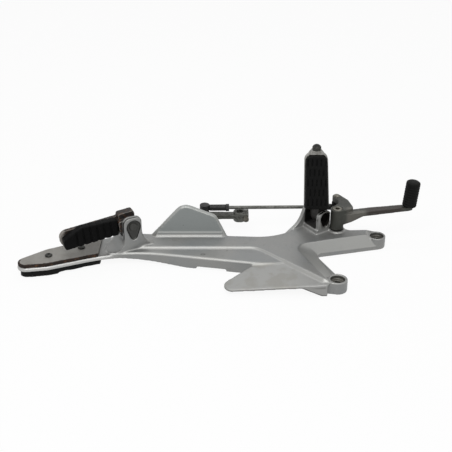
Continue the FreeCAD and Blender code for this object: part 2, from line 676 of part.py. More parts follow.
def passenger_lug():
    """Upright lug of two ears joined low down by a web, flared into the beam and ramped to the tongue."""
    foot = SHOULDER_Z - SHOULDER_BEVEL - PASSENGER_Z
    left = -PASSENGER_EAR_LEFT
    right = PASSENGER_EAR_RIGHT

    def ear(top, flare):
        flare_y = right + flare
        flare_z = TERRACE_Z - SINK - PASSENGER_Z + flare
        soft = PASSENGER_SOFT_CORNER
        crisp = PASSENGER_CRISP_CORNER
        return [
            (left, foot, 0.0),
            (flare_y, foot, 0.0),
            (flare_y, flare_z, -flare),
            (right - crisp, top - crisp, crisp),
            (left + soft, top - soft, soft),
        ]

    half = PASSENGER_SLOT / 2
    web_top = -PASSENGER_FLOOR_DROP
    web = rectangle(left, right, foot, web_top)
    ramp_y = left - PASSENGER_RAMP
    ramp_z = SHOULDER_Z - SINK - PASSENGER_Z + PASSENGER_RAMP
    ramp = [
        (ramp_y, foot, 0.0),
        (left + SINK, foot, 0.0),
        (left + SINK, web_top, 0.0),
        (left, web_top, 0.0),
        (ramp_y, ramp_z, -PASSENGER_RAMP),
    ]
    ramp = placed(side_plate(ramp, -PASSENGER_EAR_FACE, PASSENGER_EAR_FACE), PASSENGER_PLACE)
    ramp = ramp.common(prism(inset(TONGUE, TONGUE_BEVEL), TONGUE_BASE_Z, PASSENGER_Z))
    pieces = [
        side_plate(ear(PASSENGER_FRONT_TOP, PASSENGER_FRONT_FLARE), half, PASSENGER_EAR_FACE),
        side_plate(ear(PASSENGER_REAR_TOP, PASSENGER_REAR_FLARE), -PASSENGER_EAR_FACE, -half),
        side_plate(web, -PASSENGER_EAR_FACE, PASSENGER_EAR_FACE),
    ]
    return placed(joined(pieces), PASSENGER_PLACE).fuse(ramp)


def passenger_lug_cuts():
    recess_radius = PASSENGER_EAR_RIGHT - PASSENGER_RECESS_RIM
    recess = ear_recess(recess_radius, PASSENGER_RECESS_DROP, PASSENGER_RECESS_TIP, PASSENGER_EAR_FACE)
    return [placed(pin_hole(PASSENGER_EAR_FACE), PASSENGER_PLACE), placed(recess, PASSENGER_PLACE)]


def heel_plate():
    """Thin tilted plate that reaches back from the diagonal ridge, with a skirt beside the boss."""
    corner = V(-HEEL_SLAB / 2, -HEEL_SLAB / 2, -HEEL_PLATE_THICKNESS)
    slab = Part.makeBox(HEEL_SLAB, HEEL_SLAB, HEEL_PLATE_THICKNESS, corner)
    tilt = FreeCAD.Rotation(V(1, -1, 0), HEEL_PLATE_TILT)
    hinge = V(RIDGE_SUM / 2, RIDGE_SUM / 2, SHOULDER_Z - SINK)
    plate = placed(slab, FreeCAD.Placement(hinge, tilt))
    plate = plate.common(prism(HEEL_PLATE, -HEEL_SLAB, HEEL_SLAB))
    skirt_top = SHOULDER_Z - HEEL_PLATE_THICKNESS - SKIRT_DROP
    skirt = [
        (SKIRT_FOOT_X, 0.0, 0.0),
        (SKIRT_FRONT_X, 0.0, 0.0),
        (SKIRT_FRONT_X, skirt_top, 0.0),
        (SKIRT_BACK_X, skirt_top, 0.0),
    ]
    return [plate, front_plate(skirt, SKIRT_FAR_Y, SKIRT_NEAR_Y)]


def ankle_wing():
    """Leaning guard on the far edge of the beam, with a filleted foot."""
    wing_y = BEAM_FAR_Y - ANKLE_WING_SETBACK
    lean = FreeCAD.Rotation(V(1, 0, 0), -ANKLE_WING_LEAN)
    upright = bevelled(ANKLE_WING, 0.0, ANKLE_WING_THICKNESS, ANKLE_WING_BEVEL)
    upright = placed(upright, FreeCAD.Placement(V(0, ANKLE_WING_THICKNESS, 0), FACING))
    wing = placed(upright, FreeCAD.Placement(V(0, wing_y, SHOULDER_Z), lean))
    rise = ANKLE_WING_FILLET
    y = wing_y + SINK
    z = TERRACE_Z - SINK / 2
    middle = V(0, y - rise * (1 - ROOT_HALF), z + rise * (1 - ROOT_HALF))
    curve = Part.Arc(V(0, y - rise, z), middle, V(0, y, z + rise)).toShape()
    upright_side = Part.makeLine(V(0, y, z + rise), V(0, y, z))
    flat_side = Part.makeLine(V(0, y, z), V(0, y - rise, z))
    profile = Part.Face(Part.Wire([curve, upright_side, flat_side]))
    foot = profile.extrude(V(ANKLE_FOOT_END_X - ANKLE_FOOT_START_X, 0, 0))
    start_cap = profile.revolve(V(0, y, 0), V(0, 0, 1), -90.0)
    end_cap = profile.revolve(V(0, y, 0), V(0, 0, 1), 90.0)
    foot.translate(V(ANKLE_FOOT_START_X, 0, 0))
    start_cap.translate(V(ANKLE_FOOT_START_X, 0, 0))
    end_cap.translate(V(ANKLE_FOOT_END_X, 0, 0))
    return [wing, foot, start_cap, end_cap]


def fork_space(grow):
    """Space between the two front arms, flaring outward above its straight foot."""
    lower = inset(FORK, -grow)
    upper = inset(FORK, -grow - FORK_SLOPE)
    x, y, radius = upper[0]
    upper[0] = (x - FORK_TIP_REACH_X, y - FORK_TIP_REACH_Y, radius)
    return Part.makeLoft([belt(lower, FORK_LOWER_Z), belt(upper, TERRACE_Z + OVERCUT)], True, True)


def belly():
    """Wedge under the rear of the beam, where its underside slopes up to the tongue."""
    outline = [
        (PAD_START_X, -OVERCUT, 0.0),
        (BELLY_FRONT_X, -OVERCUT, 0.0),
        (BELLY_FRONT_X, 0.0, 0.0),
        (BELLY_BACK_X, TONGUE_BASE_Z, 0.0),
        (PAD_START_X, TONGUE_BASE_Z, 0.0),
    ]
    return front_plate(outline, RIB_REACH, 0.0)


def casting_hollow():
    """Space behind the top skin, left open towards the machine, apart from ribs and solid bosses."""
    hollow = prism(inset(BODY, CASTING_WALL), -OVERCUT, SHOULDER_Z - SKIN)
    below = -2 * OVERCUT
    half_rib = RIB_THICKNESS / 2
    solid = [
        fork_space(CASTING_WALL),
        prism(inset(FORK, -CASTING_WALL), below, FORK_LOWER_Z),
        cylinder(0, 0, UPPER_BOSS_RADIUS, below, TERRACE_Z),
        cylinder(LOWER_BOLT_X, LOWER_BOLT_Y, LOWER_BOSS_RADIUS, below, TERRACE_Z),
        cylinder(PIVOT_X, PIVOT_Y, PIVOT_RING_RADIUS, below, TERRACE_Z),
    ]
    for x in BEAM_RIBS:
        solid.append(box(x - half_rib, x + half_rib, -RIB_REACH, RIB_REACH, below, TERRACE_Z))
    for angle in HEAD_RIB_ANGLES:
        rib = box(-HEAD_RIB_REACH, HEAD_RIB_REACH, -half_rib, half_rib, below, TERRACE_Z)
        solid.append(placed(rib, turned(HEAD_RIB_X, HEAD_RIB_Y, 0.0, angle)))
    return hollow.cut(joined(solid))


def bolt_cuts(x, y, boss_radius):
    """Bolt hole with its sunk seat, and the bevel from the arm down to the boss."""
    seat_z = BOSS_HEIGHT - BOLT_SEAT_DEPTH
    rise = TERRACE_Z + OVERCUT - BOSS_HEIGHT
    return [
        cylinder(x, y, BOLT_HOLE_RADIUS, -OVERCUT, TERRACE_Z),
        cylinder(x, y, BOLT_SEAT_RADIUS, seat_z, TERRACE_Z + OVERCUT),
        cone(x, y, boss_radius, boss_radius + rise, BOSS_HEIGHT, BOSS_HEIGHT + rise),
    ]


def hanger_casting():
    foot = bevelled(BODY, 0.0, SHOULDER_Z, SHOULDER_BEVEL)
    terrace = bevelled(TERRACE, SHOULDER_Z - SHOULDER_BEVEL - SINK, TERRACE_Z, TERRACE_STEP)
    additions = [
        cylinder(0, 0, UPPER_BOSS_RADIUS, 0.0, BOSS_HEIGHT),
        cylinder(LOWER_BOLT_X, LOWER_BOLT_Y, LOWER_BOSS_RADIUS, 0.0, BOSS_HEIGHT),
        cylinder(PIVOT_X, PIVOT_Y, PIVOT_RING_RADIUS, SHOULDER_Z - SINK, RING_Z),
        bevelled(TONGUE, TONGUE_BASE_Z, TONGUE_TOP_Z, TONGUE_BEVEL),
        rider_clevis(),
        passenger_lug(),
    ]
    body = joined([joined([foot, terrace]).cut(fork_space(0.0))] + additions + heel_plate() + ankle_wing())
    cuts = [
        casting_hollow(),
        cylinder(PIVOT_X, PIVOT_Y, PIVOT_THREAD_RADIUS + SEAT, -OVERCUT, RING_Z + OVERCUT),
        box(RELIEF_START_X, RELIEF_END_X, 0.0, BEAM_NEAR_Y, -OVERCUT, RELIEF_HEIGHT),
        belly(),
    ]
    cuts += bolt_cuts(0, 0, UPPER_BOSS_RADIUS)
    cuts += bolt_cuts(LOWER_BOLT_X, LOWER_BOLT_Y, LOWER_BOSS_RADIUS)
    cuts += rider_clevis_cuts()
    cuts += passenger_lug_cuts()
    cuts += [screw_hole(screw) for screw in SCREWS]
    return without(body, cuts).removeSplitter()


# Rear cover plate, pad and their screws
def screw_hole(screw):
    x, y, radius = screw
    return cylinder(x, y, radius + SEAT, TONGUE_BASE_Z - SCREW_GRIP, COVER_TOP_Z + OVERCUT)


def ahead_of(x, z1):
    """Everything on the bench in front of a plane across X, up to a level."""
    return box(x, 0.0, 0.0, RIB_REACH, -OVERCUT, z1)


def rear_cover_plate():
    plate = bevelled(inset(TONGUE, COVER_INSET), TONGUE_TOP_Z, COVER_TOP_Z, COVER_INSET)
    return without(plate, [ahead_of(COVER_START_X, COVER_TOP_Z + OVERCUT)] + [screw_hole(s) for s in SCREWS])


def rear_pad():
    """Rubber block under the tongue, with a thicker foot near the tip."""
    pad = prism(inset(TONGUE, PAD_INSET), 0.0, TONGUE_BASE_Z)
    ends = [ahead_of(PAD_START_X, TONGUE_BASE_Z + OVERCUT), ahead_of(PAD_FOOT_X, PAD_STEP)]
    return without(pad, ends + [screw_hole(s) for s in SCREWS])


def plate_screw(screw):
    x, y, radius = screw
    top = SCREW_HEAD_HEIGHT
    foot = TONGUE_BASE_Z - SCREW_GRIP - COVER_TOP_Z
    profile = [(0, foot), (radius, foot), (radius, 0), (SCREW_HEAD_RADIUS, 0)]
    profile += [(SCREW_HEAD_RADIUS, SCREW_HEAD_EDGE), (SCREW_CROWN_RADIUS, top), (0, top)]
    shape = revolved(profile).cut(hexagon(SCREW_HEX, top - SCREW_HEX_DEPTH, top + OVERCUT))
    shape.translate(V(x, y, COVER_TOP_Z))
    return shape


# Hinge pins and clips
def hinge_pin(face):
    floor = face - PIN_RECESS_DEPTH
    groove_end = -face - SEAT
    groove_start = groove_end - CLIP_THICKNESS
    tip = PIN_HEAD_RADIUS - PIN_HEAD_TAPER
    head = Part.makeCone(PIN_HEAD_RADIUS, tip, PIN_HEAD_HEIGHT, V(floor, 0, 0), V(1, 0, 0))
    pin = along_x(HINGE_PIN_RADIUS, groove_start - PIN_TAIL, floor).fuse(head)
    groove = along_x(HINGE_PIN_RADIUS + OVERCUT, groove_start, groove_end)
    core = along_x(HINGE_PIN_RADIUS - CLIP_GROOVE_DEPTH, groove_start - OVERCUT, groove_end + OVERCUT)
    return pin.cut(groove.cut(core))


def pin_clip(face):
    """Open spring clip in the groove of a hinge pin."""
    end = -face - SEAT
    start = end - CLIP_THICKNESS
    radius = HINGE_PIN_RADIUS + CLIP_LIP
    half = CLIP_MOUTH / 2
    mouth = box(start - OVERCUT, end + OVERCUT, -half, half, -radius - OVERCUT, 0.0)
    bore = along_x(CLIP_BORE, start - OVERCUT, end + OVERCUT)
    return without(along_x(radius, start + SEAT, end), [bore, mouth])


def rider_peg_spring():
    """Torsion spring on the hinge pin: one leg stands on the slot floor, the other rises beside the root."""
    helix = Part.makeHelix(SPRING_PITCH, SPRING_END - SPRING_START, SPRING_COIL_RADIUS)
    wire = Part.makeCircle(SPRING_WIRE_RADIUS, V(SPRING_COIL_RADIUS, 0, 0), V(0, 1, 0))
    coil = Part.Wire(helix).makePipeShell([Part.Wire(wire)], True, True)
    coil = placed(coil, FreeCAD.Placement(V(SPRING_START, 0, 0), SIDEWAYS))
    lap = SPRING_WIRE_RADIUS / 2
    low_leg = cylinder(SPRING_START, SPRING_COIL_RADIUS, SPRING_WIRE_RADIUS, -RIDER_FLOOR_DROP, lap)
    high_leg = cylinder(SPRING_END, SPRING_COIL_RADIUS, SPRING_WIRE_RADIUS, -lap, RIDER_ROOT_RADIUS)
    return joined([coil, low_leg, high_leg])


# Rider footrest
def peg_x(z):
    """Middle of the leaning footrest at a height."""
    return PEG_FOOT_X + (PEG_TIP_X - PEG_FOOT_X) * (z - PEG_BOTTOM_Z) / PEG_LENGTH


def leaning(foot_half, tip_half, z0, z1, low, high):
    """Outline in (x, z) of a plate that leans and narrows with the footrest."""
    return [
        (peg_x(z0) - foot_half + low, z0 + low, low),
        (peg_x(z0) + foot_half - low, z0 + low, low),
        (peg_x(z1) + tip_half - high, z1 - high, high),
        (peg_x(z1) - tip_half + high, z1 - high, high),
    ]


PEG_OUTLINE = leaning(
    PEG_FOOT_WIDTH / 2, PEG_TIP_WIDTH / 2, PEG_BOTTOM_Z, PEG_TOP_Z, PEG_FOOT_CORNER, PEG_TIP_CORNER
)


def rider_peg_body():
    """Shallow cast tray for the tread, with a root between the ears and a neck at the outer end."""
    tray = front_plate(PEG_OUTLINE, PEG_BACK_Y, PEG_FRONT_Y)
    tray = tray.cut(front_plate(inset(PEG_OUTLINE, PEG_RIM), TREAD_BACK_Y, PEG_FRONT_Y - OVERCUT))
    neck_top = PEG_TOP_Z + NECK_HEIGHT
    neck = [
        (PEG_TIP_X - NECK_BASE_WIDTH / 2, PEG_TOP_Z - SINK, 0.0),
        (PEG_TIP_X + NECK_BASE_WIDTH / 2, PEG_TOP_Z - SINK, 0.0),
        (PEG_TIP_X + FEELER_RADIUS, neck_top, 0.0),
        (PEG_TIP_X - FEELER_RADIUS, neck_top, 0.0),
    ]
    half_spine = PEG_SPINE_WIDTH / 2
    spine = leaning(half_spine, half_spine, PEG_BOTTOM_Z, PEG_TOP_Z - PEG_SPINE_DROP, 0.0, 0.0)
    left = SPRING_END + SPRING_WIRE_RADIUS + SPRING_SIDE_GAP
    right = RIDER_SLOT / 2 - SIDE_PLAY
    web_top = PEG_RISE + SINK
    web = [(0, 0, RIDER_ROOT_RADIUS), (ROOT_TOP_FRONT, web_top, 0), (-ROOT_TOP_BACK, web_top, 0)]
    pieces = [
        tray,
        front_plate(neck, PEG_AXIS_Y + FEELER_RADIUS, PEG_AXIS_Y - FEELER_RADIUS),
        front_plate(spine, PEG_SPINE_Y, PEG_BACK_Y - SINK),
        placed(side_plate(web, left, right), RIDER_PLACE),
    ]
    bore = along_x(HINGE_PIN_RADIUS + RUNNING, left - OVERCUT, right + OVERCUT)
    cuts = [
        placed(bore, RIDER_PLACE),
        cylinder(PEG_TIP_X, PEG_AXIS_Y, FEELER_STUD_RADIUS + SEAT, PEG_TOP_Z, neck_top + OVERCUT),
    ]
    return without(joined(pieces), cuts + tread_screw_holes())


def tread_screw_holes():
    radius = TREAD_SCREW_RADIUS + SEAT
    return [along_y(radius, peg_x(z), z, PEG_SPINE_Y + OVERCUT, TREAD_GRIP_Y) for z in TREAD_SCREW_HEIGHTS]


def rider_peg_rubber():
    """Tread block with staggered upright slots."""
    outline = inset(PEG_OUTLINE, PEG_RIM + SEAT)
    block = bevelled(outline, 0.0, TREAD_BACK_Y - TREAD_FRONT_Y, TREAD_BEVEL)
    block = placed(block, FreeCAD.Placement(V(0, TREAD_BACK_Y, 0), FACING))
    rows = int((PEG_LENGTH - TREAD_SLOT_LENGTH) / TREAD_ROW_PITCH)
    columns = int((PEG_TIP_WIDTH / 2 - PEG_RIM - TREAD_SLOT_WIDTH) / TREAD_SLOT_PITCH)
    half_width = TREAD_SLOT_WIDTH / 2
    half_length = TREAD_SLOT_LENGTH / 2
    slots = []
    for row in range(rows + 1):
        z = PEG_MIDDLE_Z + (row - rows / 2) * TREAD_ROW_PITCH
        odd = row % 2
        for column in range(-columns, columns + 1 - odd):
            x = peg_x(z) + (column + odd / 2) * TREAD_SLOT_PITCH
            outline = rectangle(x - half_width, x + half_width, z - half_length, z + half_length)
            slots.append(front_plate(outline, TREAD_FRONT_Y + TREAD_SLOT_DEPTH, TREAD_FRONT_Y - OVERCUT))
    return without(block, [Part.makeCompound(slots)] + tread_screw_holes())


def tread_screw(z):
    head_end = PEG_SPINE_Y + TREAD_SCREW_HEAD_HEIGHT
    head = along_y(TREAD_SCREW_RADIUS + TREAD_SCREW_HEAD_LIP, peg_x(z), z, head_end, PEG_SPINE_Y)
    return head.fuse(along_y(TREAD_SCREW_RADIUS, peg_x(z), z, PEG_SPINE_Y, TREAD_GRIP_Y))


def rider_peg_feeler():
    """Domed wear bolt at the outer end."""
    crown = Part.makeSphere(FEELER_CROWN_RADIUS, V(0, 0, FEELER_HEIGHT - FEELER_CROWN_RADIUS))
    feeler = cylinder(0, 0, FEELER_RADIUS, 0.0, FEELER_HEIGHT).common(crown)
    feeler = joined([feeler, cylinder(0, 0, FEELER_STUD_RADIUS, -NECK_HEIGHT, SINK)])
    feeler.translate(V(PEG_TIP_X, PEG_AXIS_Y, PEG_TOP_Z + NECK_HEIGHT))
    return feeler


# Passenger footrest, drawn upright and then folded back
def passenger_peg_body():
    half = PASSENGER_SLOT / 2 - SIDE_PLAY
    side = PADDLE_WIDTH / 2
    neck_side = side - PADDLE_NECK_STEP
    corner = PADDLE_FOOT_CORNER
    paddle = rounded_box(-side, side, PADDLE_START, PADDLE_END, corner, PADDLE_CORNER)
    neck = rounded_box(-neck_side, neck_side, 0.0, SLEEVE_START - FIT_GAP, corner, corner)
    heel = rounded_box(0.0, HEEL_HEIGHT, HEEL_START, HEEL_END, corner, corner)
    pieces = [
        along_x(PASSENGER_ROOT_RADIUS, -half, half),
        side_plate(paddle, PADDLE_BACK, PADDLE_FACE),
        side_plate(neck, -half, half),
        side_plate(heel, -half, HEEL_FACE),
    ]
    bore = along_x(HINGE_PIN_RADIUS + RUNNING, -half - OVERCUT, half + OVERCUT)
    return placed(joined(pieces).cut(bore), FOLDED_PLACE)


def passenger_peg_rubber():
    """Ribbed tread block on the paddle; its upper edge rises to a step and then falls to the tip."""
    corner = PADDLE_FOOT_CORNER
    outline = [
        (SLEEVE_LOW + corner, SLEEVE_START + corner, corner),
        (SLEEVE_HIGH - corner, SLEEVE_START + corner, corner),
        (SLEEVE_HIGH + SLEEVE_RISE - corner, SLEEVE_STEP, corner),
        (corner, SLEEVE_END - corner, corner),
        (SLEEVE_LOW + corner, SLEEVE_END - corner, corner),
    ]
    block = bevelled(outline, 0.0, SLEEVE_DEPTH, SLEEVE_BEVEL)
    block = placed(block, FreeCAD.Placement(V(PADDLE_FACE, 0, 0), SIDEWAYS))
    count = int((SLEEVE_END - SLEEVE_START - PADDLE_CORNER) / SLEEVE_GROOVE_PITCH)
    low = SLEEVE_LOW + SLEEVE_GROOVE_DEPTH / 2
    floor = SLEEVE_FACE - SLEEVE_GROOVE_DEPTH
    top = SLEEVE_HIGH + SLEEVE_RISE + OVERCUT
    grooves = []
    for k in range(1, count + 1):
        z = SLEEVE_START + k * SLEEVE_GROOVE_PITCH
        end = z + SLEEVE_GROOVE_WIDTH
        rise = SLEEVE_RISE * (z - SLEEVE_START) / (SLEEVE_STEP - SLEEVE_START)
        high = SLEEVE_HIGH + rise - SLEEVE_GROOVE_DEPTH / 2
        cut = box(PADDLE_FACE - OVERCUT, SLEEVE_FACE + OVERCUT, SLEEVE_LOW - OVERCUT, top, z, end)
        grooves.append(cut.cut(box(PADDLE_FACE - 2 * OVERCUT, floor, low, high, z - OVERCUT, end + OVERCUT)))
    return placed(without(block, grooves), FOLDED_PLACE)


# Gear lever
def shift_lever():
    """Boss with a hooked arm to the ball stud and a long toe arm whose root is deep."""
    tip = TOE_X + TOE_EYE_RADIUS + TOE_ARM_OVERHANG
    side = [(PIVOT_X, LEVER_BASE_Z + TOE_WEB_RISE, 0.0)]
    side += [(PIVOT_X + reach, TOE_ARM_BASE_Z - depth, 0.0) for reach, depth in TOE_ARM_WEB]
    side += [(tip, TOE_ARM_BASE_Z, 0.0), (tip, TOE_ARM_TOP_Z, 0.0)]
    side += [(PIVOT_X + reach, TOE_ARM_TOP_Z - depth, 0.0) for reach, depth in TOE_ARM_DIP]
    slab = front_plate(side, TOE_Y + TOE_REACH_X, PIVOT_Y - TOE_REACH_X)
    pieces = [
        cylinder(PIVOT_X, PIVOT_Y, LEVER_BOSS_RADIUS, LEVER_BASE_Z, LEVER_TOP_Z),
        prism(HOOK, HOOK_BASE_Z, HOOK_TOP_Z),
        prism(TOE_ARM, LEVER_BASE_Z, LEVER_TOP_Z).common(slab),
    ]
    cuts = [
        cylinder(PIVOT_X, PIVOT_Y, BUSH_RADIUS + SEAT, LEVER_BASE_Z - OVERCUT, LEVER_TOP_Z),
        cylinder(PIVOT_X, PIVOT_Y, PIVOT_HEAD_RADIUS + FIT_GAP, HEAD_SEAT_Z, LEVER_TOP_Z + OVERCUT),
        cylinder(FRONT_BALL_X, FRONT_BALL_Y, STUD_RADIUS + SEAT, HOOK_BASE_Z - OVERCUT, HOOK_TOP_Z + OVERCUT),
        placed(cylinder(0, 0, TOE_PIN_RADIUS + SEAT, -TOE_PIN_DEPTH, TOE_PIN_DEPTH), TOE_PLACE),
    ]
    return without(joined(pieces), cuts)


def lever_bush():
    return ring(PIVOT_X, PIVOT_Y, BUSH_BORE, BUSH_RADIUS, LEVER_BASE_Z, HEAD_SEAT_Z - SEAT)


def lever_washer():
    bore = PIVOT_SHOULDER_RADIUS + SEAT
    return ring(PIVOT_X, PIVOT_Y, bore, LEVER_WASHER_RADIUS, RING_Z, WASHER_TOP_Z)


def lever_seal():
    """Dust ring round the washer, under the lever boss."""
    return ring(PIVOT_X, PIVOT_Y, LEVER_WASHER_RADIUS + SEAT, LEVER_SEAL_RADIUS, RING_Z, WASHER_TOP_Z)


def lever_pivot_bolt():
    under_head = HEAD_SEAT_Z + FIT_GAP
    thread_end = RING_Z - PIVOT_THREAD_DEPTH
    profile = [
        (0, thread_end),
        (PIVOT_THREAD_RADIUS, thread_end),
        (PIVOT_THREAD_RADIUS, RING_Z),
        (PIVOT_SHOULDER_RADIUS, RING_Z),
        (PIVOT_SHOULDER_RADIUS, under_head),
        (PIVOT_HEAD_RADIUS, under_head),
        (PIVOT_HEAD_RADIUS, LEVER_TOP_Z - PIVOT_HEAD_EDGE),
        (PIVOT_HEAD_RADIUS - PIVOT_HEAD_EDGE, LEVER_TOP_Z),
        (0, LEVER_TOP_Z),
    ]
    bolt = revolved(profile).cut(hexagon(PIVOT_HEX, LEVER_TOP_Z - PIVOT_HEX_DEPTH, LEVER_TOP_Z + OVERCUT))
    bolt.translate(V(PIVOT_X, PIVOT_Y, 0))
    return bolt


def toe_pin():
    return placed(cylinder(0, 0, TOE_PIN_RADIUS, -TOE_PIN_DEPTH, TOE_PIN_TOP), TOE_PLACE)


# Shares of a rib's pitch where it has risen, ends its land and has fallen
RIB_SHAPE = [(0.0, 0.0), (0.25, 1.0), (0.65, 1.0), (0.9, 0.0)]
# Shares of the radius and height of the domed cap
CAP_SHAPE = [(1.0, 0.0), (0.95, 0.5), (0.75, 0.85), (0.4, 1.0), (0.0, 1.0)]


def toe_rubber():
    """Ribbed rubber sleeve with a domed cap."""
    groove_radius = TOE_RUBBER_RADIUS - TOE_RIB_DEPTH
    shoulder = TOE_RUBBER_LENGTH - TOE_RUBBER_CAP
    count = int((shoulder - TOE_RUBBER_GAP) / TOE_RIB_PITCH)
    pitch = (shoulder - TOE_RUBBER_GAP) / count
    bore = TOE_PIN_RADIUS + SEAT
    bore_top = TOE_PIN_TOP + SEAT
    profile = [(0, bore_top), (bore, bore_top), (bore, TOE_RUBBER_GAP)]
    for k in range(count):
        for along, height in RIB_SHAPE:
            profile.append((groove_radius + TOE_RIB_DEPTH * height, TOE_RUBBER_GAP + (k + along) * pitch))
    for out, height in CAP_SHAPE:
        profile.append((TOE_RUBBER_RADIUS * out, shoulder + TOE_RUBBER_CAP * height))
    return placed(revolved(profile), TOE_PLACE)


# Shift linkage: ball joints at both ends of a rod, the rear one turned upside down
def ball_stud(plate):
    """Ball, neck and riveted shank through a plate of the given thickness."""
    far_side = BALL_OFFSET + plate
    pieces = [
        Part.makeSphere(BALL_RADIUS),
        cylinder(0, 0, BALL_NECK_RADIUS, 0.0, BALL_OFFSET),
        cylinder(0, 0, STUD_RADIUS, BALL_OFFSET - STUD_COLLAR, far_side),
        cone(0, 0, STUD_HEAD_RADIUS, STUD_RADIUS, far_side, far_side + STUD_HEAD_HEIGHT),
    ]
    return joined(pieces)


def rod_end():
    """Ball housing with a neck and a threaded shank along +X."""
    pieces = [
        cylinder(0, 0, HOUSING_RADIUS, HOUSING_BASE, HOUSING_TOP),
        along_x(HOUSING_TOP - FIT_GAP, 0.0, HOUSING_RADIUS + SINK),
        along_x(SHANK_RADIUS, HOUSING_RADIUS + FIT_GAP, SHANK_LENGTH),
    ]
    cuts = [
        Part.makeSphere(BALL_RADIUS + RUNNING),
        cylinder(0, 0, BALL_NECK_RADIUS + FIT_GAP, 0.0, HOUSING_TOP + OVERCUT),
        along_x(ROD_RADIUS + SEAT, SHANK_LENGTH - ROD_THREAD_DEPTH, SHANK_LENGTH + OVERCUT),
    ]
    return without(joined(pieces), cuts)


def rod_boot():
    """Dust boot between the housing and the plate that holds the stud."""
    top = BALL_OFFSET - FIT_GAP
    collar = BALL_OFFSET - STUD_COLLAR - FIT_GAP
    neck = BALL_NECK_RADIUS + FIT_GAP
    mouth = STUD_RADIUS + FIT_GAP
    foot = HOUSING_RADIUS - BOOT_LEDGE
    profile = [
        (neck, HOUSING_TOP),
        (foot, HOUSING_TOP),
        (foot + BOOT_BULGE, (HOUSING_TOP + top) / 2),
        (mouth + 2 * BOOT_WALL, top - BOOT_WALL),
        (mouth + BOOT_WALL, top),
        (mouth, top),
        (mouth, collar),
        (neck, collar),
    ]
    return revolved(profile)


def locknut():
    nut = hexagon(NUT_ACROSS, SHANK_LENGTH, SHANK_LENGTH + NUT_HEIGHT)
    nut = placed(nut, FreeCAD.Placement(V(0, 0, 0), SIDEWAYS))
    return nut.cut(along_x(ROD_RADIUS + SEAT, SHANK_LENGTH - OVERCUT, SHANK_LENGTH + NUT_HEIGHT + OVERCUT))


def shift_rod():
    start = SHANK_LENGTH - ROD_THREAD_DEPTH
    return along_x(ROD_RADIUS, start, ROD_LENGTH - start)


def at_front(shape):
    return placed(shape, ROD_PLACE)


def at_rear(shape):
    return placed(placed(shape, ROD_FLIP), ROD_PLACE)


# Gearbox shift arm, hung from the rear ball
def shift_arm():
    """Flat arm with a split clamp for the gearbox shaft."""
    half_slit = CLAMP_SLIT / 2
    lug_side = CLAMP_RADIUS + OVERCUT
    low = ARM_MIDDLE - CLAMP_HEIGHT / 2
    high = ARM_MIDDLE + CLAMP_HEIGHT / 2
    bar = [(0, 0, ARM_EYE_RADIUS), (ARM_LENGTH, 0, ARM_EYE_RADIUS - ARM_TAPER)]
    pieces = [
        prism(bar, ARM_TOP - ARM_THICKNESS, ARM_TOP),
        cylinder(ARM_LENGTH, 0, CLAMP_RADIUS, low, high),
        box(ARM_LENGTH, CLAMP_END, -CLAMP_RADIUS, CLAMP_RADIUS, low + CLAMP_LUG_STEP, high - CLAMP_LUG_STEP),
    ]
    cuts = [
        cylinder(ARM_LENGTH, 0, CLAMP_BORE_RADIUS, low - OVERCUT, high + OVERCUT),
        box(ARM_LENGTH, CLAMP_END + OVERCUT, -half_slit, half_slit, low - OVERCUT, high + OVERCUT),
        along_y(PINCH_BOLT_RADIUS + SEAT, PINCH_X, ARM_MIDDLE, lug_side, -lug_side),
        cylinder(0, 0, STUD_RADIUS + SEAT, ARM_TOP - ARM_THICKNESS - OVERCUT, ARM_TOP + OVERCUT),
    ]
    return placed(without(joined(pieces), cuts), ARM_PLACE)


def pinch_bolt():
    shank = along_y(PINCH_BOLT_RADIUS, PINCH_X, ARM_MIDDLE, CLAMP_RADIUS + PINCH_TAIL, -CLAMP_RADIUS)
    head = along_y(PINCH_HEAD_RADIUS, PINCH_X, ARM_MIDDLE, -CLAMP_RADIUS, -CLAMP_RADIUS - PINCH_HEAD_HEIGHT)
    return placed(shank.fuse(head), ARM_PLACE)


def arm_ball_stud():
    stud = placed(ball_stud(ARM_THICKNESS), FreeCAD.Placement(V(0, 0, 0), OVER))
    return placed(stud, ARM_PLACE)


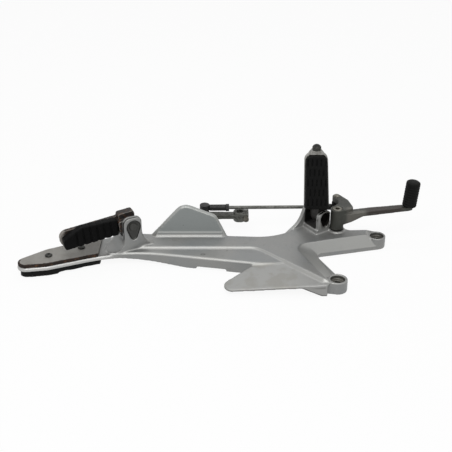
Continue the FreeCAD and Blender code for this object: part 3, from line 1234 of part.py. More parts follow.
pieces = {
    "hanger_casting": hanger_casting(),
    "rear_cover_plate": rear_cover_plate(),
    "rear_pad": rear_pad(),
    "plate_screws": Part.makeCompound([plate_screw(screw) for screw in SCREWS]),
    "rider_peg_pin": placed(hinge_pin(RIDER_EAR_FACE), RIDER_PLACE),
    "rider_pin_clip": placed(pin_clip(RIDER_EAR_FACE), RIDER_PLACE),
    "rider_peg_spring": placed(rider_peg_spring(), RIDER_PLACE),
    "passenger_peg_pin": placed(hinge_pin(PASSENGER_EAR_FACE), PASSENGER_PLACE),
    "passenger_pin_clip": placed(pin_clip(PASSENGER_EAR_FACE), PASSENGER_PLACE),
    "rider_peg_body": rider_peg_body(),
    "rider_peg_rubber": rider_peg_rubber(),
    "rider_tread_screws": Part.makeCompound([tread_screw(z) for z in TREAD_SCREW_HEIGHTS]),
    "rider_peg_feeler": rider_peg_feeler(),
    "passenger_peg_body": passenger_peg_body(),
    "passenger_peg_rubber": passenger_peg_rubber(),
    "shift_lever": shift_lever(),
    "lever_bush": lever_bush(),
    "lever_washer": lever_washer(),
    "lever_seal": lever_seal(),
    "lever_pivot_bolt": lever_pivot_bolt(),
    "toe_pin": toe_pin(),
    "toe_rubber": toe_rubber(),
    "lever_ball_stud": at_front(ball_stud(HOOK_THICKNESS)),
    "front_rod_end": at_front(rod_end()),
    "front_rod_boot": at_front(rod_boot()),
    "front_locknut": at_front(locknut()),
    "shift_rod": at_front(shift_rod()),
    "rear_locknut": at_rear(locknut()),
    "rear_rod_end": at_rear(rod_end()),
    "rear_rod_boot": at_rear(rod_boot()),
    "arm_ball_stud": arm_ball_stud(),
    "shift_arm": shift_arm(),
    "pinch_bolt": pinch_bolt(),
}

os.makedirs("parts", exist_ok=True)
for name, shape in pieces.items():
    shape.exportStep("parts/" + name + ".step")
    print(name, shape.isValid(), len(shape.Solids), round(shape.Volume))
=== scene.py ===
"""Looks of a motorcycle footrest hanger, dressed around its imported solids. Metres, in the part's frame."""

import json
import math

import bmesh
import bpy
import numpy as np
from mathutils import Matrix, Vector, kdtree, noise

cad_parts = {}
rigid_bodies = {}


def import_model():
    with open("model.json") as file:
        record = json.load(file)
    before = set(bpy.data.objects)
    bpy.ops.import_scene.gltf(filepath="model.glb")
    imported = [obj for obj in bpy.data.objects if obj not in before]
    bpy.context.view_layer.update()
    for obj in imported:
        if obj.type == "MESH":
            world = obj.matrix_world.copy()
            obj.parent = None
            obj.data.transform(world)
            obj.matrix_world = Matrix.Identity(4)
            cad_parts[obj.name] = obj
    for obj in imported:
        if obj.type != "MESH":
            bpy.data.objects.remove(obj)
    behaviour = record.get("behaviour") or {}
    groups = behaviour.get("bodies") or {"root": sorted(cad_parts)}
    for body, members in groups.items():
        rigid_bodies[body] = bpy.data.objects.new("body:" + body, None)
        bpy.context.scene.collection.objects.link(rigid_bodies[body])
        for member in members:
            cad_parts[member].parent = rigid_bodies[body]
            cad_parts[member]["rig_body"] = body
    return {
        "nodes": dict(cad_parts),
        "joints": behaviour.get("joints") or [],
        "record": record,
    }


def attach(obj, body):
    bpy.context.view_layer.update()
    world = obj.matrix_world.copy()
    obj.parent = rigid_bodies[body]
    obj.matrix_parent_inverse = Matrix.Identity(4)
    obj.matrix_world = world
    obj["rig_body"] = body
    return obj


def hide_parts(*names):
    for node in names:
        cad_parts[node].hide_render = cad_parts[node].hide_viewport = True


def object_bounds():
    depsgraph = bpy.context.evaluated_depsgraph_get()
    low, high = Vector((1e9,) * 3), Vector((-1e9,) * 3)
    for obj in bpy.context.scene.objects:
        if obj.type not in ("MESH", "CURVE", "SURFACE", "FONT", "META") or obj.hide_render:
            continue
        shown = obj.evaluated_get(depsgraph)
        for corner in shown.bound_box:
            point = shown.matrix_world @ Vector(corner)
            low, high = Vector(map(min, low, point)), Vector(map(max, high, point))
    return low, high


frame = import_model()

MM = 0.001
CAD_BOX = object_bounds()
JOINTS = {joint["name"]: joint for joint in frame["joints"]}
MOUNTS = {mount["name"]: mount for mount in frame["record"]["mounts"]}
NODE_SLOT = {row["node"]: row["material_slot"] for row in frame["record"]["subparts"]}

# Camera at the photograph's viewing angle
CAMERA_PLACE = (-0.1444, -1.0459, 0.6620)
CAMERA_TILT = 61.5
CAMERA_LENS = 75.66
CAMERA_SENSOR = 36.0

# Studio: how bright the room is for diffuse light, and how much of the floor's white is its own
ROOM_LIGHT = 0.46
FLOOR_SIDE = 8.0
FLOOR_DROP = 0.0002
FLOOR_GREY = 0.93
FLOOR_ROUGHNESS = 0.9
FLOOR_OWN_WHITE = 0.92

# Softboxes: name, bearing from the front, elevation, distance, width, height and radiance
SOFTBOXES = [
    ("front_softbox", -8.0, 58.0, 1.5, 1.1, 0.7, 4.2),
    ("back_softbox", 190.0, 66.0, 1.5, 1.2, 0.6, 1.4),
]

# Colours as seen, in sRGB from 0 to 255
SILVER = (139, 139, 137)
SILVER_COOL = (132, 134, 134)
SILVER_BARE = (168, 167, 163)
# Painted highlight laid on the sloping faces of the casting
SILVER_SLOPE_HIGHLIGHT = (176, 176, 172)
SILVER_WING = (136, 141, 140)
# Painted highlight along the rounded rim of the tongue
SILVER_RIM_HIGHLIGHT = (190, 190, 188)
# Painted light on the heel plate
SILVER_HEEL_LIT = (156, 156, 154)
HEEL_SCUFF = (128, 125, 114)
# Painted shade on the faces of the heel plate that look down
HEEL_UNDERSIDE_SHADE = (52, 51, 48)
# Painted light on the clevis around the rider hinge
SILVER_CLEVIS_LIT = (146, 146, 144)
# Random stains, and dirt with painted shade in the creases
SILVER_GRIME_AND_SHADE = (92, 90, 84)
# Dirt and painted shade in the passenger recess and on its pin
RECESS_GRIME_AND_SHADE = (62, 62, 60)
# Painted shade, near black, for the rider slot, the rider recess and its pin
RECESS_SHADE_BLACK = (15, 14, 13)
# Painted shade on the outer faces of the rider ears
EAR_SHADE = (54, 52, 48)
SEAT_GRIME = (78, 76, 70)
CHIP_DARK = (62, 60, 58)
PLATE_GREY = (137, 135, 130)
PLATE_DUST = (124, 121, 115)
PLATE_SHADE = (84, 81, 76)
RUST_DARK = (26, 16, 9)
RUST_BROWN = (74, 50, 32)
RUST_ORANGE = (116, 78, 44)
RUBBER_BLACK = (9, 9, 9)
RUBBER_WORN = (16, 16, 15)
RUBBER_DUST = (34, 33, 31)
ZINC = (122, 120, 112)
ZINC_DULL = (88, 85, 77)
SPRING = (52, 50, 46)
PEG_SILVER = (150, 149, 145)
PEG_WORN = (112, 110, 105)
STEEL = (80, 80, 76)
STEEL_DULL = (56, 56, 52)
ROD_GREY = (106, 106, 102)
ROD_DULL = (82, 82, 78)
ARM_GREY = (78, 79, 74)
ARM_PALE = (98, 99, 94)
PEG_SIDE = (84, 82, 78)
# The root's own dark colour, with painted shade between the ears
PEG_ROOT = (30, 28, 26)
PEG_ROOT_WORN = (70, 67, 62)
BOOT_BLACK = (30, 30, 29)
LEVER_OLIVE = (60, 61, 56)
# Paler tone of the web and blotches, also used as a painted highlight on the edges
LEVER_PALE_AND_HIGHLIGHT = (100, 98, 92)
LEVER_BROWN = (50, 44, 40)
LEVER_DARK = (42, 43, 39)
ROOT_BLACK = (25, 21, 19)
ROOT_WORN = (150, 146, 140)
BRONZE = (128, 100, 56)

# Nick in the shoulder of the beam
NICK_PLACE = (-0.1754, 0.0605, 0.018)
NICK_SPAN = (2.4, 0.9)
NICK_STRETCH = (0.5, 1.0, 1.0)

# Where marks, painted light and painted shade fade in on the casting, in millimetres: nothing at the first
# value, all at the second
WING_LOW = (25.0, 27.0)
WING_NEAR = (101.5, 103.5)
WING_FRONT = (-130.0, -140.0)
HEEL_RIDGE = (-30.0, -31.5)
HEEL_FAR = (42.0, 36.0)
BEAM_REAR = (-288.0, -280.0)
RIM_FRONT = (-285.0, -320.0)
RIM_TOP = (20.0, 17.0)
SEAT_REACH = (9.9, 9.2)
SEAT_TOP = (16.6, 14.5)

# The same around the hinge of the rider footrest
CLEVIS_REACH = (36.0, 28.0)
SLOT_HALF_WIDTH = (12.8, 12.3)
SLOT_REAR = (-15.0, -12.0)
SLOT_FLOOR = (-17.0, -14.0)
EAR_OUTER = (13.0, 16.0)
EAR_REAR = (-10.0, -6.0)
EAR_REACH = (26.0, 20.0)

# Sunk faces of the ears: how far the face lies from the middle, and the depths between which dirt and painted
# shade sit
EAR_FACE = 18.0
RECESS_FLOOR = (-3.6, -3.2)
RECESS_RIM = (-0.5, -1.2)
RECESS_FADE = 1.0
RIDER_RECESS_REACH = 12.5
PASSENGER_RECESS_REACH = 21.0

# Marks on the other pieces, with painted shade under the sleeve and at the root of the rider footrest
PLATE_SHADE_SPAN = (-352.0, -324.0)
RUST_TIP_SPAN = (-340.0, -372.0)
RUST_TIP_EXTRA = 0.8
RUST_WIDTH = (3.6, 2.8)
RUST_RAGGED = 3.0
HOOK_NEAR = (130.0, 138.0)
WEB_REAR = (20.0, 27.0)
WEB_FRONT = (56.0, 48.0)
WEB_FAR = (133.0, 127.0)
TOE_ARM_REAR = (46.0, 58.0)
TOE_ARM_FRONT = (106.0, 98.0)
PEG_SIDE_TOP = (132.0, 122.0)
PEG_ROOT_TOP = (70.0, 62.0)
CLAMP_REAR = (-138.0, -130.0)
TIP_REACH = (88.0, 91.0)
TIP_NEAR = (6.0, -2.0)

# Sizes of the mottling, in metres
CLOUDS = 0.06
CHIP_FIELDS = 0.05
DRIFTS = 0.03
DUST_FIELDS = 0.02
BROWN_FIELDS = 0.014
BLOTCHES = 0.012
CHIP_GAP = 0.011
STAINS = 0.009
SCUFFS = 0.006
TARNISH = 0.005
SPOTS = 0.004
RUST_SPOTS = 0.0035
FLECKS = 0.003
RUST_PITS = 0.0025
CAST_GRAIN = 0.0016
PLATE_GRAIN = 0.0015
PEG_GRAIN = 0.0014
STEEL_FLECKS = 0.0013
SPECKLE = 0.0012
RUBBER_GRAIN = 0.0011
RUBBER_FLECKS = 0.0009
STEEL_GRAIN = 0.0008

# Depths of the fine relief, in metres
SATIN_DEPTH = 0.00006
STEEL_DEPTH = 0.00008
RUBBER_DEPTH = 0.00012
ARM_DEPTH = 0.00015
LEVER_DEPTH = 0.00018
PLATE_DEPTH = 0.0002
CAST_DEPTH = 0.00025
SCUFF_DEPTH = 0.0003

# Name under which a mesh keeps each point's distance from the piece's near side and tip
EDGE_GAP = "edge_gap"


def linear(colour):
    """Scene-linear RGBA of an sRGB colour."""
    shares = [value / 255 for value in colour]
    return [s / 12.92 if s <= 0.04045 else ((s + 0.055) / 1.055) ** 2.4 for s in shares] + [1.0]


# Centre of a hinge, and the axes along which a distance may be measured
ORIGIN = (0.0, 0.0, 0.0)
ALONG_AXIS = (1.0, 0.0, 0.0)
ACROSS_AXIS = (0.0, 1.0, 1.0)
IN_PLAN = (1.0, 1.0, 0.0)


# Materials
class Surface:
    """A principled material whose colour, roughness and relief are built up in steps."""

    def __init__(self, name, colour, roughness, metallic=0.0, specular=0.5):
        self.material = bpy.data.materials.new(name)
        self.material.use_nodes = True
        self.tree = self.material.node_tree
        self.shader = self.tree.nodes["Principled BSDF"]
        self.shader.inputs["Base Color"].default_value = linear(colour)
        self.shader.inputs["Roughness"].default_value = roughness
        self.shader.inputs["Metallic"].default_value = metallic
        self.shader.inputs["Specular IOR Level"].default_value = specular
        self.base = linear(colour)
        self.normal = None
        self.place = self.tree.nodes.new("ShaderNodeTexCoord").outputs["Object"]

    def feed(self, socket, value):
        """Links an output to a socket, or sets the socket to a plain value."""
        if isinstance(value, bpy.types.NodeSocket):
            self.tree.links.new(value, socket)
        else:
            socket.default_value = value

    def grain(self, size, detail=4.0, roughness=0.55):
        """Noise of about this size."""
        texture = self.tree.nodes.new("ShaderNodeTexNoise")
        texture.inputs["Scale"].default_value = 1 / size
        texture.inputs["Detail"].default_value = detail
        texture.inputs["Roughness"].default_value = roughness
        self.feed(texture.inputs["Vector"], self.place)
        return texture.outputs["Fac"]

    def cells(self, size):
        """Distance from scattered points that lie about this far apart, as a share of that size."""
        texture = self.tree.nodes.new("ShaderNodeTexVoronoi")
        texture.inputs["Scale"].default_value = 1 / size
        self.feed(texture.inputs["Vector"], self.place)
        return texture.outputs["Distance"]

    def window(self, value, start, end):
        """Smooth step from 0 at start to 1 at end, which may lie below it."""
        step = self.tree.nodes.new("ShaderNodeMapRange")
        step.interpolation_type = "SMOOTHSTEP"
        step.inputs["From Min"].default_value = min(start, end)
        step.inputs["From Max"].default_value = max(start, end)
        step.inputs["To Min"].default_value = 0.0 if start < end else 1.0
        step.inputs["To Max"].default_value = 1.0 if start < end else 0.0
        self.feed(step.inputs["Value"], value)
        return step.outputs["Result"]

    def span(self, value, ends):
        """Window whose start and end are in millimetres."""
        return self.window(value, ends[0] * MM, ends[1] * MM)

    def calculate(self, operation, first, second):
        sum_node = self.tree.nodes.new("ShaderNodeMath")
        sum_node.operation = operation
        self.feed(sum_node.inputs[0], first)
        self.feed(sum_node.inputs[1], second)
        return sum_node.outputs["Value"]

    def both(self, first, second):
        return self.calculate("MULTIPLY", first, second)

    def either(self, first, second):
        return self.calculate("MAXIMUM", first, second)

    def part(self, vector, axis):
        split = self.tree.nodes.new("ShaderNodeSeparateXYZ")
        self.feed(split.inputs["Vector"], vector)
        return split.outputs[axis]

    def from_hinge(self, joint):
        """Place measured from a hinge, with X along its axis."""
        axis = JOINTS[joint]["axis"]
        mapping = self.tree.nodes.new("ShaderNodeMapping")
        mapping.vector_type = "TEXTURE"
        mapping.inputs["Location"].default_value = JOINTS[joint]["pos_m"]
        mapping.inputs["Rotation"].default_value = (0.0, 0.0, math.atan2(axis[1], axis[0]))
        self.feed(mapping.inputs["Vector"], self.place)
        return mapping.outputs["Vector"]

    def reach(self, vector, centre, kept=(1.0, 1.0, 1.0)):
        """Distance from a point, along the kept axes."""
        away = self.tree.nodes.new("ShaderNodeVectorMath")
        away.operation = "SUBTRACT"
        self.feed(away.inputs[0], vector)
        away.inputs[1].default_value = centre
        flat = self.tree.nodes.new("ShaderNodeVectorMath")
        flat.operation = "MULTIPLY"
        self.feed(flat.inputs[0], away.outputs["Vector"])
        flat.inputs[1].default_value = kept
        length = self.tree.nodes.new("ShaderNodeVectorMath")
        length.operation = "LENGTH"
        self.feed(length.inputs[0], flat.outputs["Vector"])
        return length.outputs["Value"]

    def facing(self, axis):
        """Part of the surface's own normal along an axis."""
        geometry = self.tree.nodes.new("ShaderNodeNewGeometry")
        return self.part(geometry.outputs["Normal"], axis)

    def stored(self, name):
        """Value that the mesh keeps for each of its points under a name."""
        attribute = self.tree.nodes.new("ShaderNodeAttribute")
        attribute.attribute_name = name
        return attribute.outputs["Fac"]

    def pointiness(self):
        return self.tree.nodes.new("ShaderNodeNewGeometry").outputs["Pointiness"]

    def stain(self, mask, colour, strength=1.0):
        """Lays a colour over the ones so far where the mask is 1."""
        if strength < 1.0:
            mask = self.both(mask, strength)
        mixed = self.tree.nodes.new("ShaderNodeMix")
        mixed.data_type = "RGBA"
        self.feed(mixed.inputs[0], mask)
        self.feed(mixed.inputs[6], self.base)
        mixed.inputs[7].default_value = linear(colour)
        self.base = mixed.outputs[2]
        self.feed(self.shader.inputs["Base Color"], self.base)

    def vary(self, name, mask, low, high):
        """Runs one of the shader's values from low to high with a mask."""
        scaled = self.tree.nodes.new("ShaderNodeMapRange")
        scaled.inputs["To Min"].default_value = low
        scaled.inputs["To Max"].default_value = high
        self.feed(scaled.inputs["Value"], mask)
        self.feed(self.shader.inputs[name], scaled.outputs["Result"])

    def gloss(self, mask, low, high):
        self.vary("Roughness", mask, low, high)

    def metal(self, mask, low, high):
        self.vary("Metallic", mask, low, high)

    def relief(self, height, depth, strength=1.0):
        """Bump of this depth, laid over the relief so far."""
        bump = self.tree.nodes.new("ShaderNodeBump")
        bump.inputs["Strength"].default_value = strength
        bump.inputs["Distance"].default_value = depth
        self.feed(bump.inputs["Height"], height)
        if self.normal is not None:
            self.feed(bump.inputs["Normal"], self.normal)
        self.normal = bump.outputs["Normal"]
        self.feed(self.shader.inputs["Normal"], self.normal)


def silver_coat():
    """Satin silver coat on the casting, with dirt in its sunk seats, dirt and painted shade in its creases
    and recesses, painted shade in the rider slot, on the outer ears and under the heel, and painted light on
    its slopes, heel, rim and clevis.
    """
    s = Surface("silver_coat", SILVER, roughness=0.4, metallic=0.5)
    s.stain(s.window(s.grain(CLOUDS, 3.0), 0.35, 0.7), SILVER_COOL)
    s.stain(s.window(s.grain(SPECKLE, 2.0), 0.58, 0.75), SILVER_BARE, 0.3)
    s.stain(s.window(s.grain(STAINS, 5.0), 0.56, 0.75), SILVER_GRIME_AND_SHADE, 0.16)
    s.stain(s.window(s.pointiness(), 0.53, 0.6), SILVER_BARE, 0.5)
    # Dirt and painted shade: concave creases are coloured darker
    s.stain(s.window(s.pointiness(), 0.47, 0.4), SILVER_GRIME_AND_SHADE, 0.45)
    along, across, up = [s.part(s.place, axis) for axis in "XYZ"]
    wing = s.both(s.span(up, WING_LOW), s.span(across, WING_NEAR))
    s.stain(s.both(wing, s.span(along, WING_FRONT)), SILVER_WING, 0.8)
    heel = s.both(s.span(s.calculate("ADD", along, across), HEEL_RIDGE), s.span(across, HEEL_FAR))
    # Painted light: the heel plate is coloured lighter than the rest of the casting
    s.stain(heel, SILVER_HEEL_LIT, 0.8)
    s.stain(s.both(heel, s.window(s.grain(DRIFTS, 4.0), 0.48, 0.6)), HEEL_SCUFF, 0.35)
    # Painted shade: faces of the heel plate that look down are coloured dark
    s.stain(s.both(heel, s.window(s.facing("Z"), 0.0, -0.25)), HEEL_UNDERSIDE_SHADE, 0.9)
    # Painted highlight: faces that slope, judged by their normal, are coloured lighter as if the light caught
    # them
    slope = s.both(s.window(s.facing("Z"), 0.97, 0.88), s.window(s.facing("Z"), 0.3, 0.45))
    plain = s.both(s.calculate("SUBTRACT", 1.0, heel), s.span(along, BEAM_REAR))
    s.stain(s.both(slope, plain), SILVER_SLOPE_HIGHLIGHT, 0.45)
    # Painted highlight: the sides of the tongue toward its front are coloured bright
    rim = s.both(s.span(along, RIM_FRONT), s.window(s.facing("Z"), 0.95, 0.8))
    s.stain(s.both(rim, s.span(up, RIM_TOP)), SILVER_RIM_HIGHLIGHT, 0.85)
    rider = s.from_hinge("rider_peg_fold")
    clevis = s.span(s.reach(rider, ORIGIN), CLEVIS_REACH)
    # Painted light: the clevis around the rider hinge is coloured lighter
    s.stain(clevis, SILVER_CLEVIS_LIT, 0.8)
    # Painted shade: the slot between the ears is coloured near black toward its floor
    slot = s.both(s.span(s.reach(rider, ORIGIN, ALONG_AXIS), SLOT_HALF_WIDTH),
                  s.span(s.part(rider, "Y"), SLOT_REAR))
    dark = s.both(slot, s.span(s.part(rider, "Z"), SLOT_FLOOR))
    s.stain(dark, RECESS_SHADE_BLACK, 0.9)
    # Painted shade: the outer faces of the ears toward the rear are coloured dark
    outer = s.both(s.span(s.part(rider, "X"), EAR_OUTER), s.span(s.part(rider, "Y"), EAR_REAR))
    s.stain(s.both(outer, s.span(s.reach(rider, ORIGIN), EAR_REACH)), EAR_SHADE, 0.85)
    for mount in ("upper_bolt", "lower_bolt"):
        sunk = s.span(s.reach(s.place, MOUNTS[mount]["pos_m"], IN_PLAN), SEAT_REACH)
        low = s.span(s.part(s.place, "Z"), SEAT_TOP)
        s.stain(s.both(sunk, low), SEAT_GRIME, 0.9)
    nick = s.span(s.reach(s.place, NICK_PLACE, NICK_STRETCH), NICK_SPAN)
    s.stain(s.both(nick, s.window(s.grain(FLECKS), 0.35, 0.5)), CHIP_DARK, 0.8)
    # Recess floors: painted shade in the rider ear, dirt and painted shade in the passenger lug
    recesses = (("rider_peg_fold", RIDER_RECESS_REACH, RECESS_SHADE_BLACK),
                ("passenger_peg_fold", PASSENGER_RECESS_REACH, RECESS_GRIME_AND_SHADE))
    for joint, radius, grime_and_shade in recesses:
        local = s.from_hinge(joint)
        along = s.part(local, "X")
        floor = [EAR_FACE + depth for depth in RECESS_FLOOR]
        brim = [EAR_FACE + depth for depth in RECESS_RIM]
        deep = s.both(s.span(along, floor), s.span(along, brim))
        near = s.span(s.reach(local, ORIGIN, ACROSS_AXIS), (radius + RECESS_FADE, radius))
        sunk = s.both(deep, near)
        s.stain(sunk, grime_and_shade, 0.95)
        dark = s.either(dark, sunk)
    s.metal(dark, 0.5, 1.0)
    chips = s.both(s.window(s.cells(CHIP_GAP), 0.09, 0.06), s.window(s.grain(CHIP_FIELDS, 2.0), 0.56, 0.62))
    s.stain(s.both(chips, plain), CHIP_DARK, 0.7)
    s.gloss(s.either(s.grain(SPOTS, 4.0), clevis), 0.34, 0.48)
    s.relief(s.grain(CAST_GRAIN, 3.0), SATIN_DEPTH, 0.5)
    s.relief(s.grain(BLOTCHES, 2.0), CAST_DEPTH, 0.35)
    return s.material


def worn_plate():
    """Scuffed grey plate whose edge has rusted through its coat."""
    s = Surface("worn_plate", PLATE_GREY, roughness=0.5, metallic=0.25)
    s.stain(s.window(s.grain(DUST_FIELDS, 4.0), 0.4, 0.7), PLATE_DUST)
    s.stain(s.window(s.grain(SPOTS, 5.0), 0.6, 0.75), PLATE_DUST, 0.6)
    rust = s.grain(TARNISH, 5.0, 0.65)
    ragged = s.calculate("ADD", s.stored(EDGE_GAP), s.both(s.grain(SPOTS, 4.0), RUST_RAGGED * MM))
    along = s.part(s.place, "X")
    s.stain(s.span(along, PLATE_SHADE_SPAN), PLATE_SHADE, 0.5)
    ragged = s.calculate("SUBTRACT", ragged, s.both(s.span(along, RUST_TIP_SPAN), RUST_TIP_EXTRA * MM))
    edge = s.span(ragged, RUST_WIDTH)
    s.stain(edge, RUST_DARK)
    s.stain(s.both(edge, s.window(rust, 0.5, 0.66)), RUST_BROWN)
    s.stain(s.both(edge, s.window(rust, 0.62, 0.72)), RUST_ORANGE, 0.7)
    s.gloss(edge, 0.45, 0.85)
    s.relief(s.grain(PLATE_GRAIN, 4.0), PLATE_DEPTH, 0.4)
    return s.material


def rubber(name, colour, worn, dust, specular=0.14):
    """Matt rubber with scuffs and dust on what faces up."""
    s = Surface(name, colour, roughness=0.62, specular=specular)
    scuffs = s.grain(SCUFFS, 5.0, 0.6)
    s.stain(s.window(scuffs, 0.42, 0.72), worn)
    up = s.window(s.facing("Z"), 0.5, 0.95)
    s.stain(s.both(up, s.window(s.grain(FLECKS, 4.0), 0.35, 0.7)), dust, 0.4)
    s.stain(s.window(s.grain(RUBBER_FLECKS, 2.0), 0.66, 0.76), dust, 0.25)
    s.gloss(scuffs, 0.52, 0.78)
    s.relief(s.grain(RUBBER_GRAIN, 3.0), RUBBER_DEPTH, 0.6)
    s.relief(scuffs, SCUFF_DEPTH, 0.4)
    return s.material


def metal(name, colour, dull, roughness, metallic=0.8, spot=0.0):
    """Plain steel with a mottled tarnish, and rust spots where spot is above zero."""
    s = Surface(name, colour, roughness=roughness, metallic=metallic)
    tarnish = s.grain(TARNISH, 5.0, 0.6)
    s.stain(s.window(tarnish, 0.38, 0.66), dull)
    s.stain(s.window(s.grain(STEEL_FLECKS, 3.0), 0.6, 0.75), dull, 0.6)
    if spot > 0.0:
        spots = s.window(s.grain(RUST_SPOTS, 5.0, 0.7), 0.74 - 0.2 * spot, 0.84 - 0.2 * spot)
        s.stain(spots, RUST_BROWN, 0.85)
    s.gloss(tarnish, roughness - 0.08, roughness + 0.12)
    s.relief(s.grain(STEEL_GRAIN, 3.0), STEEL_DEPTH, 0.5)
    return s.material


def lever_steel():
    """Dirty lever, olive grey, paler where boots rub it, with a painted highlight along its edges, and brown
    along the arm.
    """
    s = Surface("lever_steel", LEVER_OLIVE, roughness=0.5, metallic=0.35)
    s.stain(s.window(s.grain(BLOTCHES, 4.0), 0.5, 0.66), LEVER_PALE_AND_HIGHLIGHT, 0.3)
    s.stain(s.span(s.part(s.place, "Y"), HOOK_NEAR), LEVER_DARK, 0.6)
    along = s.part(s.place, "X")
    web = s.both(s.span(along, WEB_REAR), s.span(along, WEB_FRONT))
    s.stain(s.both(web, s.span(s.part(s.place, "Y"), WEB_FAR)), LEVER_PALE_AND_HIGHLIGHT, 0.8)
    arm = s.both(s.span(along, TOE_ARM_REAR), s.span(along, TOE_ARM_FRONT))
    s.stain(s.both(arm, s.window(s.grain(BROWN_FIELDS, 4.0), 0.3, 0.5)), LEVER_BROWN)
    s.stain(s.window(s.grain(FLECKS, 5.0, 0.65), 0.6, 0.72), LEVER_BROWN, 0.6)
    # Painted highlight: the lever's edges are coloured paler
    s.stain(s.window(s.pointiness(), 0.53, 0.6), LEVER_PALE_AND_HIGHLIGHT, 0.7)
    s.gloss(s.grain(TARNISH, 4.0), 0.4, 0.6)
    s.relief(s.grain(CAST_GRAIN, 4.0), LEVER_DEPTH, 0.5)
    return s.material


def peg_casting():
    """Rider footrest: black at its root, its own dark colour with painted shade, bare along the rim that
    holds the tread.
    """
    s = Surface("peg_casting", PEG_SILVER, roughness=0.45, metallic=0.4)
    s.stain(s.window(s.grain(TARNISH, 5.0, 0.6), 0.38, 0.66), PEG_WORN)
    up = s.part(s.place, "Z")
    s.stain(s.span(up, PEG_SIDE_TOP), PEG_SIDE, 0.75)
    # The root is coloured near black: its own dark colour and painted shade between the ears
    root = s.span(up, PEG_ROOT_TOP)
    s.stain(root, PEG_ROOT)
    s.stain(s.both(root, s.window(s.grain(SPOTS, 4.0), 0.56, 0.7)), PEG_ROOT_WORN, 0.6)
    s.gloss(s.grain(SPOTS, 4.0), 0.4, 0.65)
    s.relief(s.grain(PEG_GRAIN, 4.0), PLATE_DEPTH, 0.5)
    return s.material


def arm_steel():
    """Dirty shift arm, paler around its clamp."""
    s = Surface("arm_steel", ARM_GREY, roughness=0.5, metallic=0.35)
    s.stain(s.span(s.part(s.place, "X"), CLAMP_REAR), ARM_PALE)
    s.stain(s.window(s.grain(TARNISH, 5.0, 0.6), 0.4, 0.66), STEEL_DULL, 0.8)
    s.stain(s.window(s.grain(RUST_SPOTS, 5.0, 0.7), 0.66, 0.76), RUST_BROWN, 0.6)
    s.gloss(s.grain(TARNISH, 4.0), 0.42, 0.62)
    s.relief(s.grain(SPECKLE, 4.0), ARM_DEPTH, 0.5)
    return s.material


def rusty_root():
    """Black coat of the passenger footrest, rusted, and rubbed bare along its edges."""
    s = Surface("rusty_root", ROOT_BLACK, roughness=0.6, metallic=0.15)
    s.stain(s.window(s.grain(TARNISH, 5.0, 0.65), 0.48, 0.62), RUST_BROWN, 0.7)
    s.stain(s.window(s.grain(RUST_PITS, 5.0), 0.62, 0.72), RUST_DARK)
    s.stain(s.window(s.pointiness(), 0.515, 0.55), ROOT_WORN, 0.75)
    local = s.from_hinge("passenger_peg_fold")
    tip = s.both(s.span(s.reach(local, ORIGIN), TIP_REACH), s.span(s.part(local, "X"), TIP_NEAR))
    s.stain(s.both(tip, s.window(s.grain(SCUFFS, 3.0), 0.3, 0.5)), ROOT_WORN, 0.7)
    s.gloss(s.grain(SPOTS, 4.0), 0.45, 0.8)
    s.relief(s.grain(CAST_GRAIN, 4.0), SCUFF_DEPTH, 0.6)
    return s.material


# Meshes: how close points are joined, and how far a side may lean to count as a worn edge
WELD = 0.00001
UPRIGHT_LEAN = 0.7
FAR_LEAN = 0.2


def finished(node, voxel, rounds, triangles, lumps=0.0, lump_size=0.01):
    """Copy of a solid with its edges worn round and its faces a little uneven, standing for it."""
    source = frame["nodes"][node]
    mesh = source.data.copy()
    surface = bmesh.new()
    surface.from_mesh(mesh)
    bmesh.ops.remove_doubles(surface, verts=surface.verts, dist=WELD)
    surface.to_mesh(mesh)
    surface.free()
    piece = bpy.data.objects.new(node + "_finished", mesh)
    bpy.context.scene.collection.objects.link(piece)
    remesh = piece.modifiers.new("remesh", "REMESH")
    remesh.mode = "VOXEL"
    remesh.voxel_size = voxel * MM
    relax = piece.modifiers.new("relax", "SMOOTH")
    relax.factor = 0.5
    relax.iterations = rounds
    bake_modifiers(piece)
    if lumps > 0.0:
        unevenness(piece.data, lumps * MM, lump_size)
    count = 2 * len(piece.data.polygons)
    if count > triangles:
        thin = piece.modifiers.new("thin", "DECIMATE")
        thin.ratio = triangles / count
        bake_modifiers(piece)
    piece.data.polygons.foreach_set("use_smooth", [True] * len(piece.data.polygons))
    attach(piece, source["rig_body"])
    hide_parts(node)
    return piece


def bake_modifiers(piece):
    """Turns what the modifiers make into the piece's own mesh."""
    graph = bpy.context.evaluated_depsgraph_get()
    made = bpy.data.meshes.new_from_object(piece.evaluated_get(graph))
    piece.modifiers.clear()
    piece.data = made


def unevenness(mesh, depth, size):
    """Sinks the surface by up to a depth, in soft patches of a size."""
    count = len(mesh.vertices)
    places = np.empty(3 * count)
    normals = np.empty(3 * count)
    mesh.vertices.foreach_get("co", places)
    mesh.vertex_normals.foreach_get("vector", normals)
    places = places.reshape(-1, 3)
    sunk = [0.5 + 0.5 * noise.noise(Vector(place) / size) for place in places]
    places -= normals.reshape(-1, 3) * depth * np.clip(sunk, 0.0, 1.0)[:, None]
    mesh.vertices.foreach_set("co", places.ravel())
    mesh.update()


def mark_edges(mesh):
    """Stores how far each point lies from the near side and the tip."""
    count = len(mesh.vertices)
    normals = np.empty(3 * count)
    mesh.vertex_normals.foreach_get("vector", normals)
    normals = normals.reshape(-1, 3)
    upright = np.abs(normals[:, 2]) < UPRIGHT_LEAN
    open_side = (normals[:, 0] < UPRIGHT_LEAN) & (normals[:, 1] < FAR_LEAN)
    sides = np.flatnonzero(upright & open_side)
    tree = kdtree.KDTree(len(sides))
    for i in sides:
        tree.insert(mesh.vertices[i].co, int(i))
    tree.balance()
    gaps = [tree.find(vertex.co)[2] for vertex in mesh.vertices]
    mesh.attributes.new(EDGE_GAP, "FLOAT", "POINT").data.foreach_set("value", gaps)


